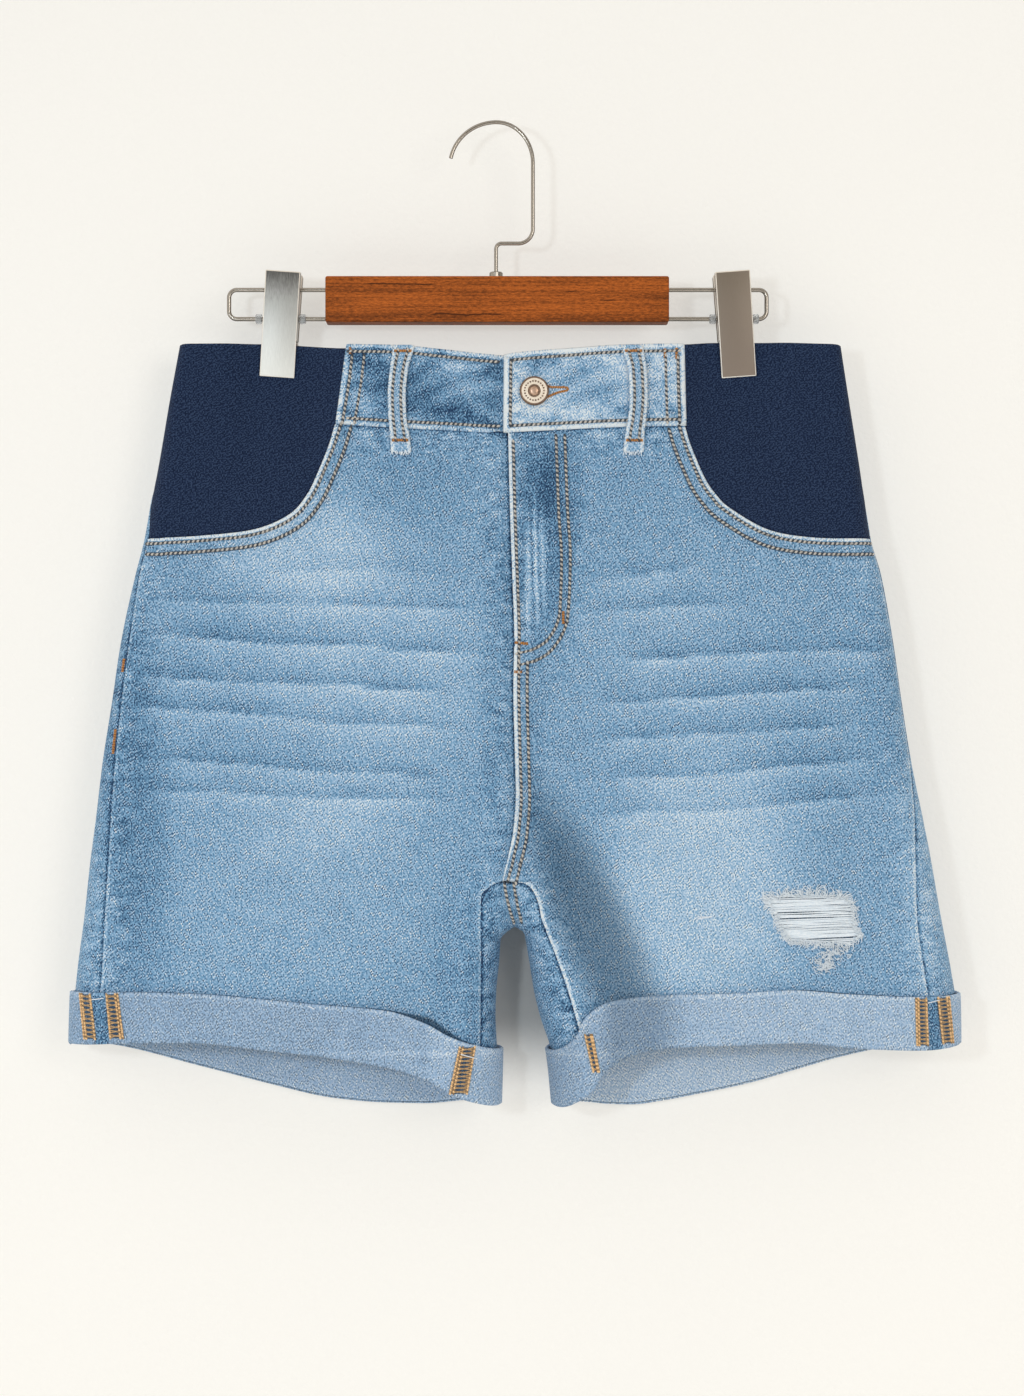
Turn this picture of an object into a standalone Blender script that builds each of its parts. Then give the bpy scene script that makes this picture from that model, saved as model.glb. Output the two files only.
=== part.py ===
"""Denim shorts hanging from a clip hanger.

The cloth is a set of thin walls: two fronts, two backs, two knit side panels, a waistband in
three lengths, two belt loops and two rolled cuffs.  Every wall lies on one surface, the skin,
which is worked out from the garment's outline and from how deep it hangs at each height.
The wearer's right is towards -X, the front towards -Y, and the origin is the inside top of the
hanger's hook.  Tables and sizes are in millimetres and are turned into metres by MM.
"""
import math

import bmesh
import bpy
from mathutils import Vector

MM = 0.001


def table(columns, *rows):
    """A dictionary of columns: the names in one string, then one row of numbers each."""
    return {name: [row[place] for row in rows] for place, name in enumerate(columns.split())}


# --- Cloth sizes -------------------------------------------------------------------------------
DENIM_WALL = 1.4
KNIT_WALL = 1.6
BAND_WALL = 2.2
LOOP_WALL = 1.6
CUFF_WALL = 2.0
SEAM_GAP = 0.4
BAND_LIFT = 0.5
KNIT_LIFT = -0.4
CUFF_LIFT = 2.3
FRONT_LAP = 8.0
FRONT_TUCK = 2.0
BAND_TUCK = 2.8
BAND_UNDERLAP_END = 30.0

# Heights where the cut changes.
WAIST_TOP = -129.5
BACK_BAND_FOOT = -176.0
INSET_FOOT = -242.5
CROTCH_POINT = -439.6
CROTCH_FOOT = -467.5
LAP_FOOT = -422.0
SHEAR_FOOT = -520.0
SHEAR_START = 0.6
CUFF_DROP = 0.9
BACK_BAND_DROP = 1.4

# Outer outline and side seams of the hanging garment, from the waist to the hem.
SIDES = table(
    "height right_edge right_seam left_seam left_edge",
    (-128.0, -184.0, -184.0, 200.0, 200.0),
    (-160.0, -189.9, -189.9, 204.9, 204.9),
    (-200.0, -196.7, -196.7, 211.2, 211.2),
    (-220.0, -200.6, -199.8, 214.2, 214.2),
    (-242.5, -204.6, -201.8, 217.2, 217.5),
    (-263.0, -209.8, -206.4, 222.2, 223.4),
    (-303.0, -218.4, -212.3, 229.6, 230.6),
    (-338.0, -223.6, -216.7, 234.6, 235.6),
    (-373.0, -229.0, -220.2, 239.3, 241.2),
    (-405.0, -232.8, -222.4, 241.4, 247.8),
    (-429.0, -236.0, -223.6, 241.6, 252.5),
    (-461.0, -239.4, -225.4, 242.2, 258.0),
    (-494.0, -243.6, -226.9, 246.3, 264.2),
    (-510.0, -245.0, -228.2, 248.4, 266.6),
    (-576.0, -247.0, -229.8, 250.4, 269.2),
)

# Centre-front edge of the left panel, which the centre-back seam follows too.
CENTRE = table(
    "height middle",
    (-128.0, 5.0),
    (-181.0, 7.0),
    (-225.0, 8.1),
    (-267.0, 9.6),
    (-298.0, 10.6),
    (-329.0, 10.1),
    (-368.0, 11.0),
    (-390.0, 11.5),
    (-412.0, 9.9),
    (-426.0, 7.1),
    (CROTCH_POINT, 3.8),
)

# Crotch and inner legs: inner line of each half (rise, then inner fold) and its inseam.
INNER = table(
    "height right_inseam right_inner left_inner left_inseam",
    (CROTCH_POINT, 3.6, 3.6, 4.0, 4.0),
    (-440.7, 1.2, 3.7, 4.1, 14.6),
    (-443.8, -4.4, 4.1, 4.5, 19.6),
    (-448.5, -8.6, 4.9, 5.4, 22.6),
    (-455.0, -8.9, 6.3, 6.8, 24.8),
    (-461.9, -9.0, 8.3, 8.9, 26.2),
    (CROTCH_FOOT, -9.0, 10.4, 11.0, 28.5),
    (-471.0, -9.0, 4.6, 16.6, 29.8),
    (-475.0, -9.0, 1.8, 17.4, 31.4),
    (-488.0, -9.1, 0.9, 19.7, 36.3),
    (-505.0, -9.3, -0.8, 22.4, 42.0),
    (-520.0, -9.4, -1.3, 26.0, 46.3),
    (-540.0, -9.8, -0.4, 32.3, 51.4),
    (-576.0, -11.5, 0.2, 35.8, 56.4),
)

# Half of the garment's depth from front to back where it hangs flat.
DEPTH = table(
    "height half_depth",
    (-128.0, 6.5),
    (-150.0, 6.8),
    (-176.0, 8.0),
    (-242.5, 11.0),
    (-350.0, 14.0),
    (-440.0, 17.0),
    (-505.0, 20.5),
    (-576.0, 24.0),
)

# Curved edge of each knit inset, from the waistband's end to the side.
RIGHT_INSET = table(
    "x height",
    (-93.1, -175.2),
    (-96.9, -188.0),
    (-103.0, -203.4),
    (-109.6, -217.0),
    (-120.0, -228.6),
    (-140.4, -237.3),
    (-172.0, -241.0),
    (-201.8, INSET_FOOT),
)
LEFT_INSET = table(
    "x height",
    (108.8, -176.4),
    (112.3, -188.0),
    (120.4, -207.2),
    (127.0, -217.0),
    (135.2, -224.9),
    (157.4, -237.4),
    (184.0, -242.0),
    (217.2, INSET_FOOT),
)

# Top and bottom of the front waistband, and the top of the knit beside it.
BAND_EDGES = table(
    "x top foot",
    (-93.0, -129.9, -175.2),
    (-58.0, -130.5, -177.4),
    (-30.0, -133.2, -178.8),
    (4.0, -136.3, -180.3),
    (7.0, -135.5, -180.1),
    (40.0, -132.6, -178.4),
    (76.0, -130.2, -176.8),
    (108.8, -129.7, -176.2),
)
KNIT_TOP = table(
    "x height",
    (-184.5, -129.5),
    (-135.0, -129.3),
    (-113.0, -130.5),
    (-90.0, -132.2),
    (108.0, -130.0),
    (127.0, -128.6),
    (150.0, -128.6),
    (200.5, -129.8),
)
BAND_ENDS = table(
    "height right_end left_end",
    (-128.0, -86.2, 108.4),
    (-152.0, -89.0, 108.8),
    (-181.0, -93.6, 109.6),
)

# Hems: lower edge in front and behind, and the top of the rolled cuff in front and behind.
HEM = table(
    "x front back cuff_front cuff_back",
    (-249.0, -533.6, -534.6, -506.0, -506.0),
    (-238.0, -532.4, -536.6, -504.7, -507.5),
    (-215.0, -531.2, -541.0, -504.4, -512.0),
    (-175.0, -530.8, -552.0, -505.0, -523.5),
    (-131.0, -535.2, -563.0, -508.4, -534.5),
    (-96.6, -539.1, -570.4, -511.6, -542.0),
    (-64.0, -545.0, -573.4, -514.6, -544.5),
    (-40.0, -552.0, -573.8, -522.5, -544.5),
    (-28.0, -558.6, -572.8, -529.0, -543.2),
    (-14.0, -565.0, -571.2, -534.5, -541.4),
    (2.4, -569.4, -569.6, -538.8, -538.8),
    (34.0, -569.4, -569.6, -538.8, -538.8),
    (48.0, -562.4, -572.6, -531.6, -542.0),
    (60.0, -548.6, -574.0, -517.6, -544.0),
    (75.0, -539.6, -574.4, -509.8, -545.0),
    (95.0, -534.6, -572.0, -506.6, -543.4),
    (115.0, -532.8, -568.4, -505.4, -540.0),
    (145.0, -532.0, -562.4, -504.8, -534.2),
    (175.0, -531.0, -554.2, -503.2, -526.0),
    (206.0, -534.0, -545.6, -505.6, -517.5),
    (242.0, -535.2, -538.0, -507.0, -509.6),
    (271.0, -533.4, -534.2, -506.4, -506.4),
)

# Largest folds: a soft ridge (rise above 0) or trough between two points of the front view.
FOLDS = table(
    "side x_top z_top x_foot z_foot width rise",
    (-1, -140.0, -300.0, -120.0, -530.0, 45.0, 2.0),
    (-1, -30.0, -452.0, -52.0, -545.0, 18.0, -2.4),
    (-1, 30.0, -405.0, 74.0, -530.0, 15.0, -3.0),
    (-1, 62.0, -400.0, 122.0, -525.0, 26.0, 2.4),
    (-1, 205.0, -340.0, 214.0, -500.0, 15.0, -1.6),
    (-1, -200.0, -330.0, -204.0, -500.0, 14.0, -1.4),
    (1, -95.0, -300.0, -95.0, -360.0, 55.0, 4.0),
    (1, 105.0, -300.0, 105.0, -360.0, 55.0, 4.0),
    (1, -20.0, -425.0, -110.0, -405.0, 15.0, -2.6),
    (1, 40.0, -425.0, 130.0, -410.0, 14.0, -2.2),
    (1, -60.0, -440.0, -84.0, -545.0, 20.0, -2.4),
    (1, 90.0, -450.0, 112.0, -540.0, 22.0, -2.4),
    (1, -150.0, -440.0, -160.0, -540.0, 30.0, 2.2),
    (1, 180.0, -430.0, 186.0, -530.0, 28.0, 2.0),
)
FOLD_FADE = 24.0

# Clips: place of each jaw on the waist, and how closely they pinch the cloth.
CLIP_X = (-125.6, 138.8)
PINCHED_HALF_DEPTH = 2.7
PINCH_FLAT = 13.0
PINCH_REACH = 34.0
PINCH_FOOT = -152.0
PINCH_FADE = -214.0

# Rows of each wall, as shares of the stretch between two of the heights above.
SEAT_STEPS = (0.0, 0.33, 0.67)
UPPER_STEPS = (0.0, 0.09, 0.2, 0.33, 0.47, 0.61, 0.75, 0.82, 0.93)
CROTCH_STEPS = (0.0, 0.15, 0.32, 0.55, 0.8)
LEG_STEPS = (0.0, 0.034, 0.075, 0.18, 0.32, 0.46, 0.6, 0.74, 0.87, 1.0)
INSET_COLUMNS = 12
BAND_COLUMNS = 5
ARC_STEPS = 3
CUFF_ARC_STEPS = 5
BACK_FLAT_COLUMNS = 9
BACK_SIDE_COLUMNS = 7
STRIP_COLUMNS = 2
KNIT_ROWS = 5
MIN_WRAP = 1.4
KNIT_WRAP = 5.2
KNIT_WRAP_FOOT = -200.0
BAND_START = 4.8

# --- Sewn-on and hanger sizes ------------------------------------------------------------------
LOOP_RUNS = table(
    "height right_x left_x half_width lift",
    (-130.6, -53.6, 78.6, 5.6, 2.8),
    (-134.5, -54.4, 79.6, 5.3, 3.1),
    (-144.0, -56.4, 81.6, 4.7, 4.7),
    (-160.0, -57.7, 82.3, 4.6, 5.1),
    (-173.0, -57.2, 81.4, 4.6, 4.6),
    (-181.0, -56.2, 80.2, 4.9, 3.2),
    (-191.8, -55.1, 79.4, 5.4, 1.9),
)
BUTTON_X = 21.9
BUTTON_Z = -156.9
BUTTON_PROFILE = table(
    "radius height",
    (0.0, 3.1),
    (2.3, 3.1),
    (2.7, 2.5),
    (3.7, 2.4),
    (4.2, 2.9),
    (7.5, 2.6),
    (8.5, 1.9),
    (8.5, 1.1),
    (7.2, 0.0),
    (0.0, 0.0),
)
BUTTON_STEPS = 28
SEAT = 0.3

BAR_CENTRE_X = 0.4
BAR_TOP = -89.6
BAR_FOOT = -116.3
BAR_LENGTH = 199.7
BAR_DEPTH = 14.0
BAR_EDGE = 1.1

WIRE_RADIUS = 1.25
FRAME_TOP = -96.7
FRAME_FOOT = -113.7
FRAME_ENDS = (-156.0, 157.5)
FRAME_CORNER = 4.5
SOCKET_DEPTH = 12.0
SOCKET_CLEARANCE = 0.35

HOOK_RADIUS = 1.15
HOOK_LEFT_REACH = 27.2
HOOK_RIGHT_REACH = 21.2
HOOK_LEFT_DROP = 26.0
HOOK_RIGHT_DROP = 24.0
HOOK_TIP_ANGLE = 79.0
HOOK_SHELF = -69.6
HOOK_SHELF_BEND = 8.5
HOOK_STEM_X = -0.3
HOOK_STEM_BEND = 3.2
HOOK_STEM_FOOT = -97.0
FERRULE_TOP = -86.4
FERRULE_RADIUS = 3.9

CLIP_WIDTH = 20.2
CLIP_HEIGHT = 61.2
CLIP_PLATE = 1.0
CLIP_TOP = -87.0
CLIP_FLANGE_FOOT = -126.0
CLIP_JAW_FACES = {
    -1: PINCHED_HALF_DEPTH + KNIT_LIFT + KNIT_WALL / 2 + SEAT,
    1: PINCHED_HALF_DEPTH + BAND_LIFT + BAND_WALL / 2 + SEAT + 0.1,
}
CLIP_HANDLE_FACE = 9.6
CLIP_LEAN = (3.9, -4.1)
CLIP_MIDDLE = (-125.7, 138.9)

STOPPER_RADIUS = 2.9
STOPPER_LENGTH = 3.8
STOPPER_X = (-138.6, -113.0, 126.0, 151.1)


# --- Reading the tables ------------------------------------------------------------------------
def slopes(xs, ys):
    """Slope at each row of a table that keeps a smooth curve from overshooting."""
    steps = [(ys[i + 1] - ys[i]) / (xs[i + 1] - xs[i]) for i in range(len(xs) - 1)]
    inner = []
    for before, after in zip(steps, steps[1:]):
        inner.append(0.0 if before * after <= 0.0 else 2.0 * before * after / (before + after))
    return [steps[0]] + inner + [steps[-1]]


def read(curve, column, at, key="height"):
    """Smooth value of a column where the key column passes the given value."""
    xs, ys = curve[key], curve[column]
    if xs[0] > xs[-1]:
        xs, ys = xs[::-1], ys[::-1]
    at = min(max(at, xs[0]), xs[-1])
    place = max(i for i in range(len(xs) - 1) if xs[i] <= at)
    grade = slopes(xs, ys)
    span = xs[place + 1] - xs[place]
    t = (at - xs[place]) / span
    return (
        ys[place] * (1 + 2 * t) * (1 - t) ** 2
        + grade[place] * span * t * (1 - t) ** 2
        + ys[place + 1] * t * t * (3 - 2 * t)
        - grade[place + 1] * span * t * t * (1 - t)
    )


def mix(low, high, share):
    """Value at a share of the way from low to high."""
    return low + (high - low) * share


def ease(value, low, high):
    """0 at low, 1 at high, smooth between them; low may be above high."""
    t = min(max((value - low) / (high - low), 0.0), 1.0)
    return t * t * (3 - 2 * t)


# --- The skin ----------------------------------------------------------------------------------
class Section:
    """Level section of one half of the garment, or of the whole body above the crotch.

    A place on it is its run along the cloth from the outer side fold to the inner line, below
    zero in front and above zero behind.
    """

    def __init__(self, part, z, lift=0.0):
        self.part = part
        self.z = z
        self.lift = lift
        self.radius = read(DEPTH, "half_depth", z) + lift
        self.turn = -1 if part == "left" else 1
        if part == "left":
            self.outer = read(SIDES, "left_edge", z) + lift
            self.inner = inner_line("left", z) - (lift if z < CROTCH_FOOT else 0.0)
        else:
            self.outer = read(SIDES, "right_edge", z) - lift
            self.inner = inner_line("right", z) + (lift if z < CROTCH_FOOT else 0.0)
            if part == "body":
                self.inner = read(SIDES, "left_edge", z) + lift
        self.arc = math.pi / 2 * self.radius
        self.flat = abs(self.inner - self.outer) - 2 * self.radius
        self.length = 2 * self.arc + self.flat

    def x_at(self, run):
        """Sideways place of a run along the cloth."""
        run = abs(run)
        if run < self.arc:
            return self.outer + self.turn * self.radius * (1 - math.cos(run / self.radius))
        if run < self.arc + self.flat:
            return self.outer + self.turn * (self.radius + run - self.arc)
        rest = max(self.length - run, 0.0)
        return self.inner - self.turn * self.radius * (1 - math.cos(rest / self.radius))

    def run_at(self, x):
        """Run along the cloth of a sideways place."""
        out = max(self.turn * (x - self.outer), 0.0)
        back = max(self.turn * (self.inner - x), 0.0)
        if out < self.radius:
            return self.radius * math.acos(1 - out / self.radius)
        if back < self.radius:
            return self.length - self.radius * math.acos(1 - back / self.radius)
        return self.arc + out - self.radius


def inner_line(part, z):
    """Centre seam, rise and inner fold of one half, from the waist to the hem."""
    if z > CROTCH_POINT:
        return read(CENTRE, "middle", z) + (-SEAM_GAP / 2 if part == "right" else SEAM_GAP / 2)
    return read(INNER, part + "_inner", z)


def clearance(x, z):
    """Distance from a point of the front view to the outline round it."""
    gap = min(x - read(SIDES, "right_edge", z), read(SIDES, "left_edge", z) - x)
    right = inner_line("right", min(z, CROTCH_FOOT))
    left = inner_line("left", min(z, CROTCH_FOOT))
    if z > CROTCH_FOOT:
        return min(gap, math.hypot(max(right - x, x - left, 0.0), z - CROTCH_FOOT))
    return min(gap, right - x if x < (right + left) / 2 else x - left)


def pinch(x, z):
    """1 where a clip holds the waist, 0 away from it."""
    reach = min(abs(x - middle) for middle in CLIP_X)
    return ease(reach, PINCH_REACH, PINCH_FLAT) * ease(z, PINCH_FADE, PINCH_FOOT)


def fold_rise(side, x, z):
    """Sum of the large folds at a point of the front or the back."""
    total = 0.0
    for row in zip(*FOLDS.values()):
        facing, x_top, z_top, x_foot, z_foot, width, rise = row
        if facing != side:
            continue
        along = Vector((x_foot - x_top, z_foot - z_top))
        start = Vector((x - x_top, z - z_top))
        share = min(max(start.dot(along) / along.length_squared, 0.0), 1.0)
        total += rise * math.exp(-(((start - along * share).length / width) ** 2))
    return total


def half_depth(side, x, z, lift):
    """How far the cloth lies in front of or behind the middle plane."""
    full = mix(read(DEPTH, "half_depth", z), PINCHED_HALF_DEPTH, pinch(x, z)) + lift
    radius = read(DEPTH, "half_depth", z) + lift
    room = max(clearance(x, z) + lift, 0.0)
    short = 1 - min(room / radius, 1.0)
    return full * math.sqrt(1 - short * short) + fold_rise(side, x, z) * ease(room, 0.0, FOLD_FADE)


def skin(part, run, z, lift=0.0):
    """Point of the cloth's middle surface, in millimetres."""
    section = Section(part, z, lift)
    if abs(run) > section.length:
        run = math.copysign(2 * section.length - abs(run), -run)
    side = -1 if run < 0 else 1
    x = section.x_at(run)
    if abs(run) >= section.length - 1e-9 and z <= CROTCH_FOOT:
        return Vector((x, 0.0, z))
    return Vector((x, side * half_depth(side, x, z, lift), z))


def outward(part, run, z, lift=0.0):
    """Direction out of the cloth at a point of the skin."""
    step = 0.05
    turn = -1 if part == "left" else 1
    length = Section(part, z, lift).length
    at_end = abs(run) > length - 0.5
    if part != "body" and at_end and z <= CROTCH_FOOT:
        if z > CROTCH_FOOT - 1.0:
            return Vector((turn * 0.2, 0.0, -0.98))
        return Vector((turn, 0.0, 0.0))
    if at_end and part != "body":
        run = math.copysign(length - 0.6, run)
    across = skin(part, run + step, z, lift) - skin(part, run - step, z, lift)
    upward = skin(part, run, z + step, lift) - skin(part, run, z - step, lift)
    return (upward.cross(across) * turn).normalized()


# --- Making solids -----------------------------------------------------------------------------
def material(name, color, roughness, metallic=0.0):
    """Plain Principled material."""
    made = bpy.data.materials.new(name)
    made.use_nodes = True
    shader = made.node_tree.nodes["Principled BSDF"]
    shader.inputs["Base Color"].default_value = (*color, 1.0)
    shader.inputs["Roughness"].default_value = roughness
    shader.inputs["Metallic"].default_value = metallic
    return made


def add_object(name, mesh, finish, collection):
    """Link a mesh into the collection as a named sub-part."""
    made = bpy.data.objects.new(name, mesh)
    mesh.materials.clear()
    mesh.materials.append(finish)
    collection.objects.link(made)
    return made


class Wall:
    """A sheet of cloth that is collected point by point and closed into a thin wall."""

    def __init__(self, thickness):
        self.half = thickness / 2
        self.points = []
        self.normals = []
        self.quads = []

    def add(self, part, run, z, lift=0.0, tuck=0.0):
        """One point on the skin; tuck moves it towards the middle plane."""
        normal = outward(part, run, z, lift)
        self.points.append(skin(part, run, z, lift) - normal * tuck)
        self.normals.append(normal)
        return len(self.points) - 1

    def patch(self, rows, closed=False):
        """Quads between rows of point numbers."""
        for upper, lower in zip(rows, rows[1:]):
            count = len(upper) if closed else len(upper) - 1
            for k in range(count):
                after = (k + 1) % len(upper)
                self.quads.append((upper[k], upper[after], lower[after], lower[k]))

    def build(self, name, finish, collection):
        """Outer and inner surface, joined round the open edges."""
        count = len(self.points)
        outer = [p + n * self.half for p, n in zip(self.points, self.normals)]
        inner = [p - n * self.half for p, n in zip(self.points, self.normals)]
        directed = {(quad[k], quad[(k + 1) % 4]) for quad in self.quads for k in range(4)}
        rim = [(b, a, a + count, b + count) for a, b in directed if (b, a) not in directed]
        rim.sort()
        lining = [tuple(v + count for v in reversed(quad)) for quad in self.quads]
        mesh = bpy.data.meshes.new(name)
        mesh.from_pydata([p * MM for p in outer + inner], [], self.quads + lining + rim)
        shell = bmesh.new()
        shell.from_mesh(mesh)
        bmesh.ops.recalc_face_normals(shell, faces=shell.faces)
        shell.to_mesh(mesh)
        shell.free()
        mesh.shade_smooth()
        mesh.set_sharp_from_angle(angle=math.radians(50))
        return add_object(name, mesh, finish, collection)


def ladder(top, hem, above=None):
    """Heights of a panel's points from its top to its hem, through the crotch heights."""
    heights = []
    if above is not None:
        heights += [mix(above, top, share) for share in SEAT_STEPS]
    heights += [mix(top, CROTCH_POINT, share) for share in UPPER_STEPS]
    heights += [mix(CROTCH_POINT, CROTCH_FOOT, share) for share in CROTCH_STEPS]
    heights += [mix(CROTCH_FOOT, hem, share) for share in LEG_STEPS]
    return heights


def hem_height(part, run_of):
    """Height of the hem below a column whose run is given at a height."""
    level = -552.0
    run = run_of(level)
    column = "front" if run < 0 else "back"
    return read(HEM, column, Section(part, level).x_at(run), key="x")


def seam_run(part, z):
    """Run from the outer fold to the side seam: in front, but just behind at the knit."""
    section = Section(part, z)
    run = max(section.run_at(read(SIDES, part + "_seam", z)), MIN_WRAP)
    return run - KNIT_WRAP * ease(z, INSET_FOOT, KNIT_WRAP_FOOT)


def inner_end(part, z):
    """Run from the outer fold to a front panel's inner edge: centre seam or inseam."""
    section = Section(part, z)
    if z >= CROTCH_POINT:
        return section.length
    return section.run_at(read(INNER, part + "_inseam", z))


def smooth_line(curve, count):
    """Evenly spaced points on a smooth curve through a table of x and height."""
    points = [Vector(pair) for pair in zip(curve["x"], curve["height"])]
    points = [2 * points[0] - points[1]] + points + [2 * points[-1] - points[-2]]
    dense = []
    for a, b, c, d in zip(points, points[1:], points[2:], points[3:]):
        for k in range(20):
            t = k / 20
            dense.append(0.5 * (
                2 * b + (c - a) * t + (2 * a - 5 * b + 4 * c - d) * t ** 2
                + (3 * b - a - 3 * c + d) * t ** 3
            ))
    dense.append(points[-2])
    runs = [0.0]
    for a, b in zip(dense, dense[1:]):
        runs.append(runs[-1] + (b - a).length)
    picked = []
    for k in range(count + 1):
        goal = runs[-1] * k / count
        place = max(i for i in range(len(runs) - 1) if runs[i] <= goal + 1e-9)
        share = (goal - runs[place]) / (runs[place + 1] - runs[place])
        picked.append(dense[place].lerp(dense[place + 1], share))
    return picked


def inset_line(part):
    """Points of a knit inset's curve from the side to the waistband, close at the side fold."""
    curve = RIGHT_INSET if part == "right" else LEFT_INSET
    points = smooth_line(curve, INSET_COLUMNS)[::-1]
    section = Section(part, INSET_FOOT)
    start = seam_run(part, INSET_FOOT)
    near = [
        Vector((section.x_at(mix(start, section.arc, k / ARC_STEPS)), INSET_FOOT))
        for k in range(1, ARC_STEPS)
    ]
    far = section.turn * (near[-1].x - section.outer) + 2.0
    rest = [p for p in points[1:] if section.turn * (p.x - section.outer) > far]
    return [points[0]] + near + rest


# --- Cloth pieces ------------------------------------------------------------------------------
def front_columns(part):
    """Shares across a front panel, and the top of each column, from side to centre."""
    columns = []
    line = inset_line(part)
    corner = line[-1]
    ends = 6.0 if part == "right" else 0.0
    middle = inner_line(part, -180.0)
    for k in range(1, BAND_COLUMNS):
        x = mix(corner.x, middle - ends, k / (BAND_COLUMNS - (1 if part == "right" else 0)))
        line.append(Vector((x, read(BAND_EDGES, "foot", x, key="x"))))
    line.append(Vector((middle, read(BAND_EDGES, "foot", middle, key="x"))))
    for point in line:
        section = Section(part, point.y)
        start = seam_run(part, point.y)
        share = (section.run_at(point.x) - start) / (inner_end(part, point.y) - start)
        columns.append((share, point.y - SEAM_GAP))
    columns[0] = (0.0, columns[0][1])
    columns[-1] = (1.0, columns[-1][1])
    return columns


def front_run(part, share, z):
    """Run of a front panel's column at a height, inside its seam gaps."""
    start = seam_run(part, z) + SEAM_GAP / 2
    end = inner_end(part, z) - (SEAM_GAP / 2 if z < CROTCH_POINT else 0.0)
    level = mix(Section(part, z).length, end, ease(z, CROTCH_POINT, SHEAR_FOOT))
    pull = max(share - SHEAR_START, 0.0) / (1.0 - SHEAR_START)
    return -(mix(start, level, share) + (end - level) * pull)


def front_tuck(z):
    """How far the right front lies under the left one beside the centre seam."""
    return FRONT_TUCK * ease(z, CROTCH_POINT + 2.0, CROTCH_POINT + 18.0)


def front_panel(part, finish, collection):
    """Front of one leg and hip, from the waistband and the inset's curve to the hem."""
    wall = Wall(DENIM_WALL)
    columns = []
    for share, top in front_columns(part):
        hem = hem_height(part, lambda z, s=share: front_run(part, s, z))
        column = []
        for z in ladder(top, hem):
            tuck = front_tuck(z) if part == "right" and share == 1.0 else 0.0
            column.append(wall.add(part, front_run(part, share, z), z, tuck=tuck))
        columns.append(column)
    wall.patch(columns)
    if part == "right":
        centre = columns[-1]
        lap = []
        for number in centre:
            z = wall.points[number].z
            if z < LAP_FOOT:
                break
            section = Section("left", z)
            run = -section.run_at(section.inner + FRONT_LAP)
            lap.append(wall.add("left", run, z, tuck=FRONT_TUCK))
        wall.patch([centre[:len(lap)], lap])
    return wall.build("front_" + part, finish, collection)


def back_panel(part, finish, collection):
    """Back of one leg and seat; it wraps to the front at the side and at the inseam."""
    wall = Wall(DENIM_WALL)

    def run_at(step, z):
        section = Section(part, z)
        if step <= BACK_SIDE_COLUMNS:
            start = SEAM_GAP / 2 - seam_run(part, z)
            return mix(start, section.arc, step / BACK_SIDE_COLUMNS)
        step -= BACK_SIDE_COLUMNS
        if step <= BACK_FLAT_COLUMNS:
            return section.arc + section.flat * step / BACK_FLAT_COLUMNS
        step -= BACK_FLAT_COLUMNS
        return section.length - section.arc * (1 - step / ARC_STEPS)

    count = BACK_SIDE_COLUMNS + BACK_FLAT_COLUMNS + ARC_STEPS
    columns = []
    for step in range(count + 1):
        hem = hem_height(part, lambda z, s=step: run_at(s, z))
        heights = ladder(INSET_FOOT - SEAM_GAP, hem, above=BACK_BAND_FOOT - SEAM_GAP)
        columns.append([wall.add(part, run_at(step, z), z) for z in heights])
    wall.patch(columns)

    fold = columns[-1][-len(LEG_STEPS):]
    strip = []
    for step in range(STRIP_COLUMNS + 1):
        column = []

        def strip_run(z):
            start = inner_end(part, z) + SEAM_GAP / 2
            return -mix(start, Section(part, z).length, step / STRIP_COLUMNS)

        for z in ladder(INSET_FOOT, hem_height(part, strip_run))[len(UPPER_STEPS) + 1:]:
            if step == STRIP_COLUMNS and z <= CROTCH_FOOT:
                break
            column.append(wall.add(part, strip_run(z), z))
        strip.append(column)
    strip[-1] += fold
    wall.patch(strip[::-1])
    return wall.build("back_" + part, finish, collection)


def side_panel(part, finish, collection):
    """Knit inset between the side fold, the waistband's end and the front's curved edge."""
    wall = Wall(KNIT_WALL)

    def outer_run(z):
        return seam_run(part, z) + SEAM_GAP / 2

    def inner_run(z):
        section = Section(part, z, KNIT_LIFT)
        x = read(BAND_ENDS, part + "_end", z) - section.turn * SEAM_GAP
        return section.run_at(x)

    def run_at(share, z):
        return -mix(outer_run(z), inner_run(z), share)

    columns = []
    line = inset_line(part)
    for point in line:
        section = Section(part, point.y, KNIT_LIFT)
        start = outer_run(point.y)
        run = section.run_at(point.x - section.turn * SEAM_GAP / 2)
        share = min((run - start) / (inner_run(point.y) - start), 1.0)
        if point is line[0]:
            share = 0.0
        foot = point.y + SEAM_GAP / 2
        top = read(KNIT_TOP, "height", Section(part, WAIST_TOP).x_at(run_at(share, WAIST_TOP)),
                   key="x")
        heights = [mix(top, foot, k / KNIT_ROWS) for k in range(KNIT_ROWS + 1)]
        columns.append([wall.add(part, run_at(share, z), z, KNIT_LIFT) for z in heights])
    wall.patch(columns)
    return wall.build("side_panel_" + part, finish, collection)


def band_column(wall, x_top, x_foot, tuck):
    """One column of the front waistband between its top and bottom edges."""
    top = read(BAND_EDGES, "top", x_top, key="x")
    foot = read(BAND_EDGES, "foot", x_foot, key="x")
    column = []
    for share in (0.0, 0.5, 1.0):
        z = mix(top, foot, share)
        section = Section("body", z, BAND_LIFT)
        run = -section.run_at(mix(x_top, x_foot, share))
        column.append(wall.add("body", run, z, BAND_LIFT, tuck))
    return column


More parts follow.
